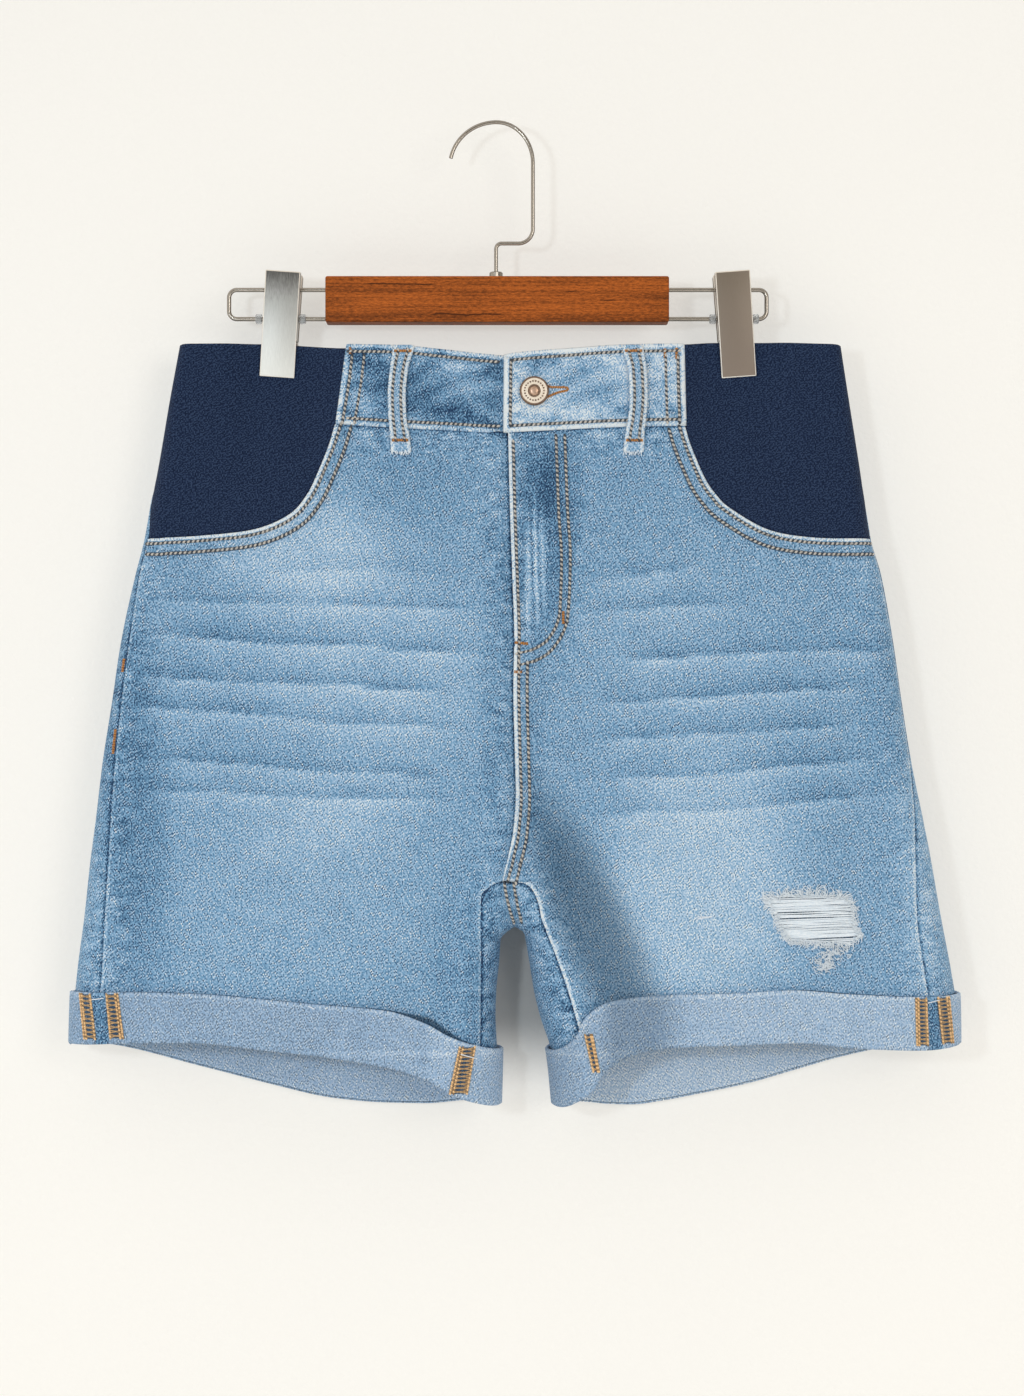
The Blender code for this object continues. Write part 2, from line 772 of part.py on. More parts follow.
def front_bands(finish, collection):
    """Right length, which runs on under the left one, and the left length over it."""
    right_end = (read(BAND_ENDS, "right_end", -130.0), read(BAND_ENDS, "right_end", -175.0))
    left_end = (read(BAND_ENDS, "left_end", -130.0), read(BAND_ENDS, "left_end", -176.0))
    under = Wall(BAND_WALL)
    columns = []
    for share in (0.0, 0.18, 0.38, 0.6, 0.8, 1.0):
        columns.append(band_column(under, mix(right_end[0], -3.4, share),
                                   mix(right_end[1], -3.4, share), 0.0))
    for x in (3.2, 12.0, 21.0, BAND_UNDERLAP_END):
        columns.append(band_column(under, x, x, BAND_TUCK))
    under.patch(columns)
    under.build("waistband_right", finish, collection)

    over = Wall(BAND_WALL)
    columns = []
    for share in (0.0, 0.08, 0.2, 0.36, 0.52, 0.68, 0.84, 1.0):
        columns.append(band_column(over, mix(5.1, left_end[0], share),
                                   mix(4.7, left_end[1], share), 0.0))
    over.patch(columns)
    over.build("waistband_left", finish, collection)


def back_band_top(x):
    """Top edge of the back waistband, just below the front's."""
    ends = BAND_EDGES["x"]
    if ends[0] < x < ends[-1]:
        return read(BAND_EDGES, "top", x, key="x") - BACK_BAND_DROP
    return read(KNIT_TOP, "height", x, key="x") - BACK_BAND_DROP


def back_band(finish, collection):
    """Back waistband from side fold to side fold."""
    wall = Wall(BAND_WALL)
    arc_shares = [k / ARC_STEPS for k in range(ARC_STEPS)]
    flat_columns = 18
    columns = []
    top_section = Section("body", WAIST_TOP, BAND_LIFT)
    for column in range(2 * ARC_STEPS + flat_columns + 1):
        points = []
        share = min(max((column - ARC_STEPS) / flat_columns, 0.0), 1.0)
        top = back_band_top(top_section.x_at(top_section.arc + top_section.flat * share))
        for z in (top, -146.0, -161.0, BACK_BAND_FOOT):
            section = Section("body", z, BAND_LIFT)
            if column < ARC_STEPS:
                run = mix(BAND_START, section.arc, arc_shares[column])
            elif column <= ARC_STEPS + flat_columns:
                run = section.arc + section.flat * (column - ARC_STEPS) / flat_columns
            else:
                left = 2 * ARC_STEPS + flat_columns - column
                run = section.length - mix(BAND_START, section.arc, left / ARC_STEPS)
            points.append(wall.add("body", run, z, BAND_LIFT))
        columns.append(points)
    wall.patch(columns)
    return wall.build("waistband_back", finish, collection)


def belt_loop(part, finish, collection):
    """Strip that stands off the waistband and is tacked above and below it."""
    wall = Wall(LOOP_WALL)
    rows = []
    for z, right_x, left_x, half_width, lift in zip(*LOOP_RUNS.values()):
        middle = right_x if part == "right" else left_x
        section = Section("body", z, lift)
        row = []
        for side in (-1, 0, 1):
            run = -section.run_at(middle + side * half_width)
            row.append(wall.add("body", run, z, lift))
        rows.append(row)
    wall.patch(rows)
    return wall.build("belt_loop_" + part, finish, collection)


def cuff_flare(part, run, share):
    """Extra room between the leg and the top of its cuff, widest beside the inseam."""
    x = Section(part, -520.0).x_at(run)
    front = 1.0 if run < 0 else 0.4
    spot = math.exp(-(((x + 46.0) / 30.0) ** 2)) + 0.7 * math.exp(-(((x - 60.0) / 22.0) ** 2))
    return share * (0.7 + 2.4 * spot * front)


def cuff(part, finish, collection):
    """Rolled band round the end of one leg."""
    wall = Wall(CUFF_WALL)
    flat_columns = 10
    ring = []
    for k in range(CUFF_ARC_STEPS):
        ring.append(("arc", k / CUFF_ARC_STEPS))
    for k in range(flat_columns + 1):
        ring.append(("flat", k / flat_columns))
    for k in range(1, CUFF_ARC_STEPS + 1):
        ring.append(("far", k / CUFF_ARC_STEPS))
    steps = [(1, kind, share) for kind, share in ring]
    steps += [(-1, kind, share) for kind, share in ring[-2:0:-1]]
    columns = []
    for side, kind, share in steps:
        column = []

        def run_at(z, lift=0.0):
            section = Section(part, z, lift)
            starts = {
                "arc": section.arc * share,
                "flat": section.arc + section.flat * share,
                "far": section.length - section.arc * (1 - share),
            }
            return side * starts[kind]

        x = Section(part, -540.0).x_at(run_at(-540.0))
        foot = read(HEM, "front" if side < 0 else "back", x, key="x") - CUFF_DROP
        top = read(HEM, "cuff_front" if side < 0 else "cuff_back", x, key="x")
        for height in (1.0, 0.5, 0.0):
            z = mix(foot, top, height)
            lift = CUFF_LIFT + cuff_flare(part, run_at(z), height)
            column.append(wall.add(part, run_at(z, lift), z, lift))
        columns.append(column)
    wall.patch(columns + [columns[0]])
    return wall.build("cuff_" + part, finish, collection)


# --- Sewn-on and hanger pieces -----------------------------------------------------------------
def turned(name, profile, steps, finish, collection):
    """Turned piece from a profile of radius and height, about its own Z axis."""
    mesh = bpy.data.meshes.new(name)
    points = [(r * MM, 0.0, h * MM) for r, h in profile]
    closed = profile[0][0] > 0.0
    edges = [(k, k + 1) for k in range(len(points) - 1)]
    if closed:
        edges.append((len(points) - 1, 0))
    mesh.from_pydata(points, edges, [])
    made = add_object(name, mesh, finish, collection)
    screw = made.modifiers.new("turn", "SCREW")
    screw.axis = "Z"
    screw.steps = steps
    screw.render_steps = steps
    screw.use_merge_vertices = True
    screw.merge_threshold = 0.00005
    screw.use_smooth_shade = True
    return made


def button(finish, collection):
    """Jeans button over the end of the buttonhole, facing the front."""
    profile = list(zip(BUTTON_PROFILE["radius"], BUTTON_PROFILE["height"]))
    made = turned("button", profile, BUTTON_STEPS, finish, collection)
    rim = max(BUTTON_PROFILE["radius"])
    depth = half_depth(-1, BUTTON_X, BUTTON_Z - rim, BAND_LIFT)
    made.location = Vector((BUTTON_X, -depth - BAND_WALL / 2 - SEAT, BUTTON_Z)) * MM
    made.rotation_euler = (math.pi / 2, 0.0, 0.0)
    return made


def bend(centre, radius, start, end, steps):
    """Points of an arc in the plane of the hanger, angles in degrees."""
    points = []
    for k in range(steps + 1):
        angle = math.radians(mix(start, end, k / steps))
        points.append((centre[0] + radius * math.cos(angle), centre[1] + radius * math.sin(angle)))
    return points


def wire(name, route, radius, finish, collection):
    """Round wire along a route of x and height in the middle plane."""
    curve = bpy.data.curves.new(name, "CURVE")
    curve.dimensions = "3D"
    curve.bevel_depth = radius * MM
    curve.bevel_resolution = 2
    curve.use_fill_caps = True
    spline = curve.splines.new("POLY")
    spline.points.add(len(route) - 1)
    for point, (x, z) in zip(spline.points, route):
        point.co = (x * MM, 0.0, z * MM, 1.0)
    made = bpy.data.objects.new(name, curve)
    curve.materials.append(finish)
    collection.objects.link(made)
    return made


def hook(finish, collection):
    """Open hook, its stepped stem and the end that stands in the bar."""
    centre = HOOK_RADIUS
    route = []
    for k in range(15):
        angle = math.radians(HOOK_TIP_ANGLE * (1 - k / 15))
        route.append((-HOOK_LEFT_REACH * math.sin(angle),
                      centre - HOOK_LEFT_DROP * (1 - math.cos(angle))))
    for k in range(15):
        angle = math.radians(90.0 * k / 14)
        route.append((HOOK_RIGHT_REACH * math.sin(angle),
                      centre - HOOK_RIGHT_DROP * (1 - math.cos(angle))))
    shelf = (HOOK_RIGHT_REACH - HOOK_SHELF_BEND, HOOK_SHELF + HOOK_SHELF_BEND)
    route += bend(shelf, HOOK_SHELF_BEND, 0.0, -90.0, 6)
    stem = (HOOK_STEM_X + HOOK_STEM_BEND, HOOK_SHELF - HOOK_STEM_BEND)
    route += bend(stem, HOOK_STEM_BEND, 90.0, 180.0, 4)
    route.append((HOOK_STEM_X, HOOK_STEM_FOOT))
    return wire("hook", route, HOOK_RADIUS, finish, collection)


def frame_wire(side, finish, collection):
    """End loop of the wire frame: out of the bar, round, and back into it."""
    turn = -1 if side == 0 else 1
    bar_end = BAR_CENTRE_X + turn * BAR_LENGTH / 2
    inside = bar_end - turn * (SOCKET_DEPTH - 1.0)
    end = FRAME_ENDS[side] - turn * FRAME_CORNER
    upper = (end, FRAME_TOP - FRAME_CORNER)
    lower = (end, FRAME_FOOT + FRAME_CORNER)
    route = [(inside, FRAME_TOP)]
    if turn > 0:
        route += bend(upper, FRAME_CORNER, 90.0, 0.0, 6)
        route += bend(lower, FRAME_CORNER, 0.0, -90.0, 6)
    else:
        route += bend(upper, FRAME_CORNER, 90.0, 180.0, 6)
        route += bend(lower, FRAME_CORNER, 180.0, 270.0, 6)
    route.append((inside, FRAME_FOOT))
    return wire("frame_wire_" + ("right", "left")[side], route, WIRE_RADIUS, finish, collection)


def box(name, low, high, finish, collection):
    """Upright box between two corners in millimetres."""
    mesh = bpy.data.meshes.new(name)
    shape = bmesh.new()
    bmesh.ops.create_cube(shape, size=1.0)
    for vertex in shape.verts:
        for axis in range(3):
            vertex.co[axis] = mix(low[axis], high[axis], vertex.co[axis] + 0.5) * MM
    shape.to_mesh(mesh)
    shape.free()
    return add_object(name, mesh, finish, collection)


def as_cutter(made):
    """Keep a cutter out of the part and show it as a wire."""
    made.hide_render = True
    made.display_type = "WIRE"
    return made


def cut(made, cutter):
    """Take the cutter's shape out of a piece."""
    boolean = made.modifiers.new("cut", "BOOLEAN")
    boolean.operation = "DIFFERENCE"
    boolean.solver = "EXACT"
    boolean.object = cutter


def socket_cutter(name, start, end, radius, finish, collection):
    """Round cutter between two points in millimetres."""
    start = Vector(start)
    end = Vector(end)
    mesh = bpy.data.meshes.new(name)
    shape = bmesh.new()
    bmesh.ops.create_cone(shape, cap_ends=True, segments=14, radius1=radius * MM,
                          radius2=radius * MM, depth=(end - start).length * MM)
    shape.to_mesh(mesh)
    shape.free()
    made = add_object(name, mesh, finish, collection)
    made.rotation_euler = (end - start).to_track_quat("Z", "Y").to_euler()
    made.location = (start + end) / 2 * MM
    return as_cutter(made)


def wooden_bar(finish, collection, cutters):
    """Bar with eased edges, sockets for the four wire ends and one for the hook."""
    half = BAR_LENGTH / 2
    bar = box("bar", (BAR_CENTRE_X - half, -BAR_DEPTH / 2, BAR_FOOT),
              (BAR_CENTRE_X + half, BAR_DEPTH / 2, BAR_TOP), finish, collection)
    edge = bar.modifiers.new("eased edges", "BEVEL")
    edge.width = BAR_EDGE * MM
    edge.segments = 2
    radius = WIRE_RADIUS + SOCKET_CLEARANCE
    for turn in (-1, 1):
        end = BAR_CENTRE_X + turn * half
        for z in (FRAME_TOP, FRAME_FOOT):
            name = "socket_%d_%d" % (turn + 1, abs(z))
            cut(bar, socket_cutter(name, (end - turn * SOCKET_DEPTH, 0.0, z),
                                   (end + turn * 4.0, 0.0, z), radius, finish, cutters))
    cut(bar, socket_cutter("socket_hook", (HOOK_STEM_X, 0.0, HOOK_STEM_FOOT - 1.0),
                           (HOOK_STEM_X, 0.0, BAR_TOP + 4.0), radius, finish, cutters))
    return bar


def ferrule(finish, collection):
    """Metal collar on the bar, round the hook's stem."""
    bore = HOOK_RADIUS + SEAT
    foot = BAR_TOP + SEAT
    profile = [
        (bore, foot), (bore, FERRULE_TOP), (FERRULE_RADIUS - 0.5, FERRULE_TOP),
        (FERRULE_RADIUS, FERRULE_TOP - 0.5), (FERRULE_RADIUS, foot),
    ]
    made = turned("ferrule", profile, 20, finish, collection)
    made.location = (HOOK_STEM_X * MM, 0.0, 0.0)
    return made


def stopper(number, finish, collection):
    """Clear sleeve on the lower wire beside a clip."""
    bore = WIRE_RADIUS + SEAT
    half = STOPPER_LENGTH / 2
    profile = [
        (bore, -half), (bore, half), (STOPPER_RADIUS - 0.6, half),
        (STOPPER_RADIUS, half - 0.6), (STOPPER_RADIUS, 0.6 - half), (STOPPER_RADIUS - 0.6, -half),
    ]
    made = turned("stopper_%d" % (number + 1), profile, 14, finish, collection)
    made.rotation_euler = (0.0, math.pi / 2, 0.0)
    made.location = Vector((STOPPER_X[number], 0.0, FRAME_FOOT)) * MM
    return made


def clip_jaw(side, facing, finish, collection, cutters):
    """Half of a clip: a channel whose flanges stop above the cloth; facing -1 is the front."""
    name = "clip_%s_%s" % (("right", "left")[side], "front" if facing < 0 else "back")
    half = CLIP_WIDTH / 2
    jaw_face = CLIP_JAW_FACES[facing]
    slope = (CLIP_HANDLE_FACE - jaw_face) / CLIP_HEIGHT
    flange_tip = WIRE_RADIUS + SEAT
    face_at_wire = CLIP_HANDLE_FACE + slope * (FRAME_FOOT - CLIP_TOP)
    depth = face_at_wire - flange_tip
    outline = [
        (-half, CLIP_PLATE), (-half, -depth), (CLIP_PLATE - half, -depth), (CLIP_PLATE - half, 0.0),
        (half - CLIP_PLATE, 0.0), (half - CLIP_PLATE, -depth), (half, -depth), (half, CLIP_PLATE),
    ]
    curve = bpy.data.curves.new(name, "CURVE")
    curve.dimensions = "2D"
    curve.fill_mode = "BOTH"
    curve.extrude = CLIP_HEIGHT / 2 * MM
    spline = curve.splines.new("POLY")
    spline.points.add(len(outline) - 1)
    spline.use_cyclic_u = True
    for point, (x, y) in zip(spline.points, outline):
        point.co = (x * MM, y * MM, 0.0, 1.0)
    drawn = bpy.data.objects.new(name + "_outline", curve)
    collection.objects.link(drawn)
    bpy.context.view_layer.update()
    evaluated = drawn.evaluated_get(bpy.context.evaluated_depsgraph_get())
    mesh = bpy.data.meshes.new_from_object(evaluated)
    shape = bmesh.new()
    shape.from_mesh(mesh)
    bmesh.ops.remove_doubles(shape, verts=shape.verts, dist=0.00001)
    bmesh.ops.recalc_face_normals(shape, faces=shape.faces)
    shape.to_mesh(mesh)
    shape.free()
    bpy.data.objects.remove(drawn)
    mesh.name = name
    jaw = add_object(name, mesh, finish, collection)
    flange_foot = CLIP_FLANGE_FOOT - (CLIP_TOP - CLIP_HEIGHT / 2)
    cutter = box(name + "_relief", (-half - 2.0, -depth - 4.0, -CLIP_HEIGHT / 2 - 2.0),
                 (half + 2.0, 0.0, flange_foot), finish, cutters)
    as_cutter(cutter)
    cutter.parent = jaw
    cut(jaw, cutter)
    middle = (CLIP_HANDLE_FACE + jaw_face) / 2
    tilt = math.atan(slope)
    jaw.rotation_mode = "YXZ"
    if facing < 0:
        jaw.rotation_euler = (-tilt, math.radians(-CLIP_LEAN[side]), math.pi)
    else:
        jaw.rotation_euler = (-tilt, math.radians(CLIP_LEAN[side]), 0.0)
    jaw.location = Vector((CLIP_MIDDLE[side], facing * middle, CLIP_TOP - CLIP_HEIGHT / 2)) * MM
    return jaw


def clear_scene():
    """Remove whatever the scene holds."""
    for made in list(bpy.data.objects):
        bpy.data.objects.remove(made, do_unlink=True)


def main():
    """Build the shorts and the hanger that holds them."""
    clear_scene()
    parts = bpy.data.collections.new("denim_shorts_on_hanger")
    cutters = bpy.data.collections.new("cutters")
    bpy.context.scene.collection.children.link(parts)
    bpy.context.scene.collection.children.link(cutters)

    denim = material("denim", (0.19, 0.34, 0.55), 0.85)
    wrong_side = material("denim_wrong_side", (0.33, 0.46, 0.63), 0.88)
    knit = material("navy_knit", (0.012, 0.025, 0.085), 0.9)
    brass = material("button_metal", (0.62, 0.48, 0.38), 0.35, 1.0)
    wood = material("bar_wood", (0.38, 0.10, 0.025), 0.45)
    steel = material("steel", (0.60, 0.57, 0.52), 0.3, 1.0)
    plastic = material("clear_plastic", (0.8, 0.82, 0.85), 0.2)

    for part in ("right", "left"):
        front_panel(part, denim, parts)
        back_panel(part, denim, parts)
        side_panel(part, knit, parts)
        belt_loop(part, denim, parts)
        cuff(part, wrong_side, parts)
    front_bands(denim, parts)
    back_band(denim, parts)
    button(brass, parts)

    wooden_bar(wood, parts, cutters)
    hook(steel, parts)
    ferrule(steel, parts)
    for side in (0, 1):
        frame_wire(side, steel, parts)
        for facing in (-1, 1):
            clip_jaw(side, facing, steel, parts, cutters)
    for number in range(len(STOPPER_X)):
        stopper(number, plastic, parts)


main()
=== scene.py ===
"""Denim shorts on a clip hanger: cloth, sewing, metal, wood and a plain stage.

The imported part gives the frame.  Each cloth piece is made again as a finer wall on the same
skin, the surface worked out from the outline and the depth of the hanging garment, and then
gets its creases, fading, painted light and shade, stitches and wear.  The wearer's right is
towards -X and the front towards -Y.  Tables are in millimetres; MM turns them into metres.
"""
import math

import bmesh
import bpy
import numpy as np
from bpy.props import FloatProperty, FloatVectorProperty, IntProperty, PointerProperty
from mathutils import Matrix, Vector


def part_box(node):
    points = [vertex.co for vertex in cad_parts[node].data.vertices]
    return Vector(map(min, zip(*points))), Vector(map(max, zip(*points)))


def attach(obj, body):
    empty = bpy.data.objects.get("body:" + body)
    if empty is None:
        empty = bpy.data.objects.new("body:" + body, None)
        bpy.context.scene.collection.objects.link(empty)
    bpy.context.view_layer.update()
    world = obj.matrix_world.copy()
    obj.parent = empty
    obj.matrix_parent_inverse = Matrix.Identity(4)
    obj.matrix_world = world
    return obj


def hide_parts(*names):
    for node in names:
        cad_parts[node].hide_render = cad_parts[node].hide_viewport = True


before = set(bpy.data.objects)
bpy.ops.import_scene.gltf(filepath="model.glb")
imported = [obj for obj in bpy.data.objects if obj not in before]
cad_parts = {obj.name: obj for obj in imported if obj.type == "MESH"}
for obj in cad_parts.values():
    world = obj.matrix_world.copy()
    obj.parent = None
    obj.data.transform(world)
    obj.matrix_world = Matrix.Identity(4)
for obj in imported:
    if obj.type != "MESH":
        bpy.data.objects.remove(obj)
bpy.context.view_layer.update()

bl_info = {
    "name": "Denim shorts on a clip hanger",
    "version": (1, 0, 0),
    "blender": (4, 5, 0),
    "location": "3D View > Sidebar > Shorts",
    "description": "Dresses the shorts and their hanger with cloth, sewing, metal and wood",
    "category": "Object",
}

MM = 0.001
VIEW_HEIGHT = 809.68
SENSOR = 36.0


# --- Tables ------------------------------------------------------------------------------------
def smooth(keys, values):
    """Reader of one column: smooth between its rows and level beyond them."""
    xs, ys = np.array(keys, float), np.array(values, float)
    if xs[0] > xs[-1]:
        xs, ys = xs[::-1], ys[::-1]
    steps = np.diff(ys) / np.diff(xs)
    before, after = steps[:-1], steps[1:]
    total = np.where(before + after == 0.0, 1.0, before + after)
    inner = np.where(before * after > 0.0, 2.0 * before * after / total, 0.0)
    grade = np.concatenate(([steps[0]], inner, [steps[-1]]))

    def at(x):
        x = np.clip(x, xs[0], xs[-1])
        i = np.clip(np.searchsorted(xs, x, side="right") - 1, 0, len(xs) - 2)
        span = xs[i + 1] - xs[i]
        t = (x - xs[i]) / span
        return (
            ys[i] * (1 + 2 * t) * (1 - t) ** 2 + grade[i] * span * t * (1 - t) ** 2
            + ys[i + 1] * t * t * (3 - 2 * t) - grade[i + 1] * span * t * t * (1 - t)
        )

    return at


class Table:
    """Named columns of sizes; each one after the first reads smoothly along the first."""

    def __init__(self, names, *rows):
        self.rows = np.array(rows, float)
        self.key = self.rows[:, 0]
        for place, name in enumerate(names.split()[1:], 1):
            setattr(self, name, smooth(self.key, self.rows[:, place]))


# --- Cloth sizes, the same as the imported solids' -----------------------------------------------
DENIM_WALL = 1.4
KNIT_WALL = 1.6
BAND_WALL = 2.2
LOOP_WALL = 1.6
CUFF_WALL = 2.0
SEAM_GAP = 0.4
BAND_LIFT = 0.5
KNIT_LIFT = -0.4
CUFF_LIFT = 2.3
FRONT_LAP = 8.0
FRONT_TUCK = 2.0
BAND_TUCK = 2.8
WAIST_TOP = -129.5
BACK_BAND_FOOT = -176.0
INSET_FOOT = -242.5
CENTRE_TOP = -180.3
CROTCH_POINT = -439.6
CROTCH_FOOT = -467.5
CUFF_DROP = 0.9
BACK_BAND_DROP = 1.4
SHEAR_FOOT = -520.0
SHEAR_START = 0.6
MIN_WRAP = 1.4
KNIT_WRAP = 5.2
KNIT_WRAP_FOOT = -200.0
BAND_START = 4.8
BAND_ENDS_X = (-93.0, 108.8)

# Levels at which the columns of the hems and the cuffs are placed, the width that spaces a
# front's columns, the rows of a panel (to the crotch, beside it, down the leg, and above the side
# seam on the back), and the distance to an edge that counts as none.
HEM_LEVEL = -552.0
CUFF_LEVEL = -540.0
FRONT_COLUMNS_WIDTH = 205.0
PANEL_ROWS = (104, 17, 40)
ABOVE_ROWS = 34
FAR = 60.0


SIDES = Table(
    "height right_edge right_seam left_seam left_edge",
    (-128.0, -184.0, -184.0, 200.0, 200.0),
    (-160.0, -189.9, -189.9, 204.9, 204.9),
    (-200.0, -196.7, -196.7, 211.2, 211.2),
    (-220.0, -200.6, -199.8, 214.2, 214.2),
    (-242.5, -204.6, -201.8, 217.2, 217.5),
    (-263.0, -209.8, -206.4, 222.2, 223.4),
    (-303.0, -218.4, -212.3, 229.6, 230.6),
    (-338.0, -223.6, -216.7, 234.6, 235.6),
    (-373.0, -229.0, -220.2, 239.3, 241.2),
    (-405.0, -232.8, -222.4, 241.4, 247.8),
    (-429.0, -236.0, -223.6, 241.6, 252.5),
    (-461.0, -239.4, -225.4, 242.2, 258.0),
    (-494.0, -243.6, -226.9, 246.3, 264.2),
    (-510.0, -245.0, -228.2, 248.4, 266.6),
    (-576.0, -247.0, -229.8, 250.4, 269.2),
)
CENTRE = Table(
    "height middle",
    (-128.0, 5.0), (-181.0, 7.0), (-225.0, 8.1), (-267.0, 9.6), (-298.0, 10.6), (-329.0, 10.1),
    (-368.0, 11.0), (-390.0, 11.5), (-412.0, 9.9), (-426.0, 7.1), (CROTCH_POINT, 3.8),
)
INNER = Table(
    "height right_inseam right_inner left_inner left_inseam",
    (CROTCH_POINT, 3.6, 3.6, 4.0, 4.0),
    (-440.7, 1.2, 3.7, 4.1, 14.6),
    (-443.8, -4.4, 4.1, 4.5, 19.6),
    (-448.5, -8.6, 4.9, 5.4, 22.6),
    (-455.0, -8.9, 6.3, 6.8, 24.8),
    (-461.9, -9.0, 8.3, 8.9, 26.2),
    (CROTCH_FOOT, -9.0, 10.4, 11.0, 28.5),
    (-471.0, -9.0, 4.6, 16.6, 29.8),
    (-475.0, -9.0, 1.8, 17.4, 31.4),
    (-488.0, -9.1, 0.9, 19.7, 36.3),
    (-505.0, -9.3, -0.8, 22.4, 42.0),
    (-520.0, -9.4, -1.3, 26.0, 46.3),
    (-540.0, -9.8, -0.4, 32.3, 51.4),
    (-576.0, -11.5, 0.2, 35.8, 56.4),
)
DEPTH = Table(
    "height half_depth",
    (-128.0, 6.5), (-150.0, 6.8), (-176.0, 8.0), (-242.5, 11.0), (-350.0, 14.0), (-440.0, 17.0),
    (-505.0, 20.5), (-576.0, 24.0),
)
RIGHT_INSET = [
    (-93.1, -175.2), (-96.9, -188.0), (-103.0, -203.4), (-109.6, -217.0), (-120.0, -228.6),
    (-140.4, -237.3), (-172.0, -241.0), (-201.8, INSET_FOOT),
]
LEFT_INSET = [
    (108.8, -176.4), (112.3, -188.0), (120.4, -207.2), (127.0, -217.0), (135.2, -224.9),
    (157.4, -237.4), (184.0, -242.0), (217.2, INSET_FOOT),
]
BAND = Table(
    "x top foot",
    (-93.0, -129.9, -175.2), (-58.0, -130.5, -177.4), (-30.0, -133.2, -178.8),
    (4.0, -136.3, -180.3), (7.0, -135.5, -180.1), (40.0, -132.6, -178.4),
    (76.0, -130.2, -176.8), (108.8, -129.7, -176.2),
)
KNIT_TOP = Table(
    "x height",
    (-184.5, -129.5), (-135.0, -129.3), (-113.0, -130.5), (-90.0, -132.2), (108.0, -130.0),
    (127.0, -128.6), (150.0, -128.6), (200.5, -129.8),
)
BAND_ENDS = Table(
    "height right left",
    (-128.0, -86.2, 108.4), (-152.0, -89.0, 108.8), (-181.0, -93.6, 109.6),
)
HEM = Table(
    "x front back cuff_front cuff_back",
    (-249.0, -533.6, -534.6, -506.0, -506.0),
    (-238.0, -532.4, -536.6, -504.7, -507.5),
    (-215.0, -531.2, -541.0, -504.4, -512.0),
    (-175.0, -530.8, -552.0, -505.0, -523.5),
    (-131.0, -535.2, -563.0, -508.4, -534.5),
    (-96.6, -539.1, -570.4, -511.6, -542.0),
    (-64.0, -545.0, -573.4, -514.6, -544.5),
    (-40.0, -552.0, -573.8, -522.5, -544.5),
    (-28.0, -558.6, -572.8, -529.0, -543.2),
    (-14.0, -565.0, -571.2, -534.5, -541.4),
    (2.4, -569.4, -569.6, -538.8, -538.8),
    (34.0, -569.4, -569.6, -538.8, -538.8),
    (48.0, -562.4, -572.6, -531.6, -542.0),
    (60.0, -548.6, -574.0, -517.6, -544.0),
    (75.0, -539.6, -574.4, -509.8, -545.0),
    (95.0, -534.6, -572.0, -506.6, -543.4),
    (115.0, -532.8, -568.4, -505.4, -540.0),
    (145.0, -532.0, -562.4, -504.8, -534.2),
    (175.0, -531.0, -554.2, -503.2, -526.0),
    (206.0, -534.0, -545.6, -505.6, -517.5),
    (242.0, -535.2, -538.0, -507.0, -509.6),
    (271.0, -533.4, -534.2, -506.4, -506.4),
)
LOOPS = Table(
    "height right left half_width lift",
    (-130.6, -53.6, 78.6, 5.6, 2.8),
    (-134.5, -54.4, 79.6, 5.3, 3.1),
    (-144.0, -56.4, 81.6, 4.7, 4.7),
    (-160.0, -57.7, 82.3, 4.6, 5.1),
    (-173.0, -57.2, 81.4, 4.6, 4.6),
    (-181.0, -56.2, 80.2, 4.9, 3.2),
    (-191.8, -55.1, 79.4, 5.4, 1.9),
)
CLIP_X = (-125.6, 138.8)
PINCHED_HALF_DEPTH = 2.7
PINCH_FLAT = 13.0
PINCH_REACH = 34.0
PINCH_FOOT = -152.0
PINCH_FADE = -214.0
FOLD_FADE = 24.0

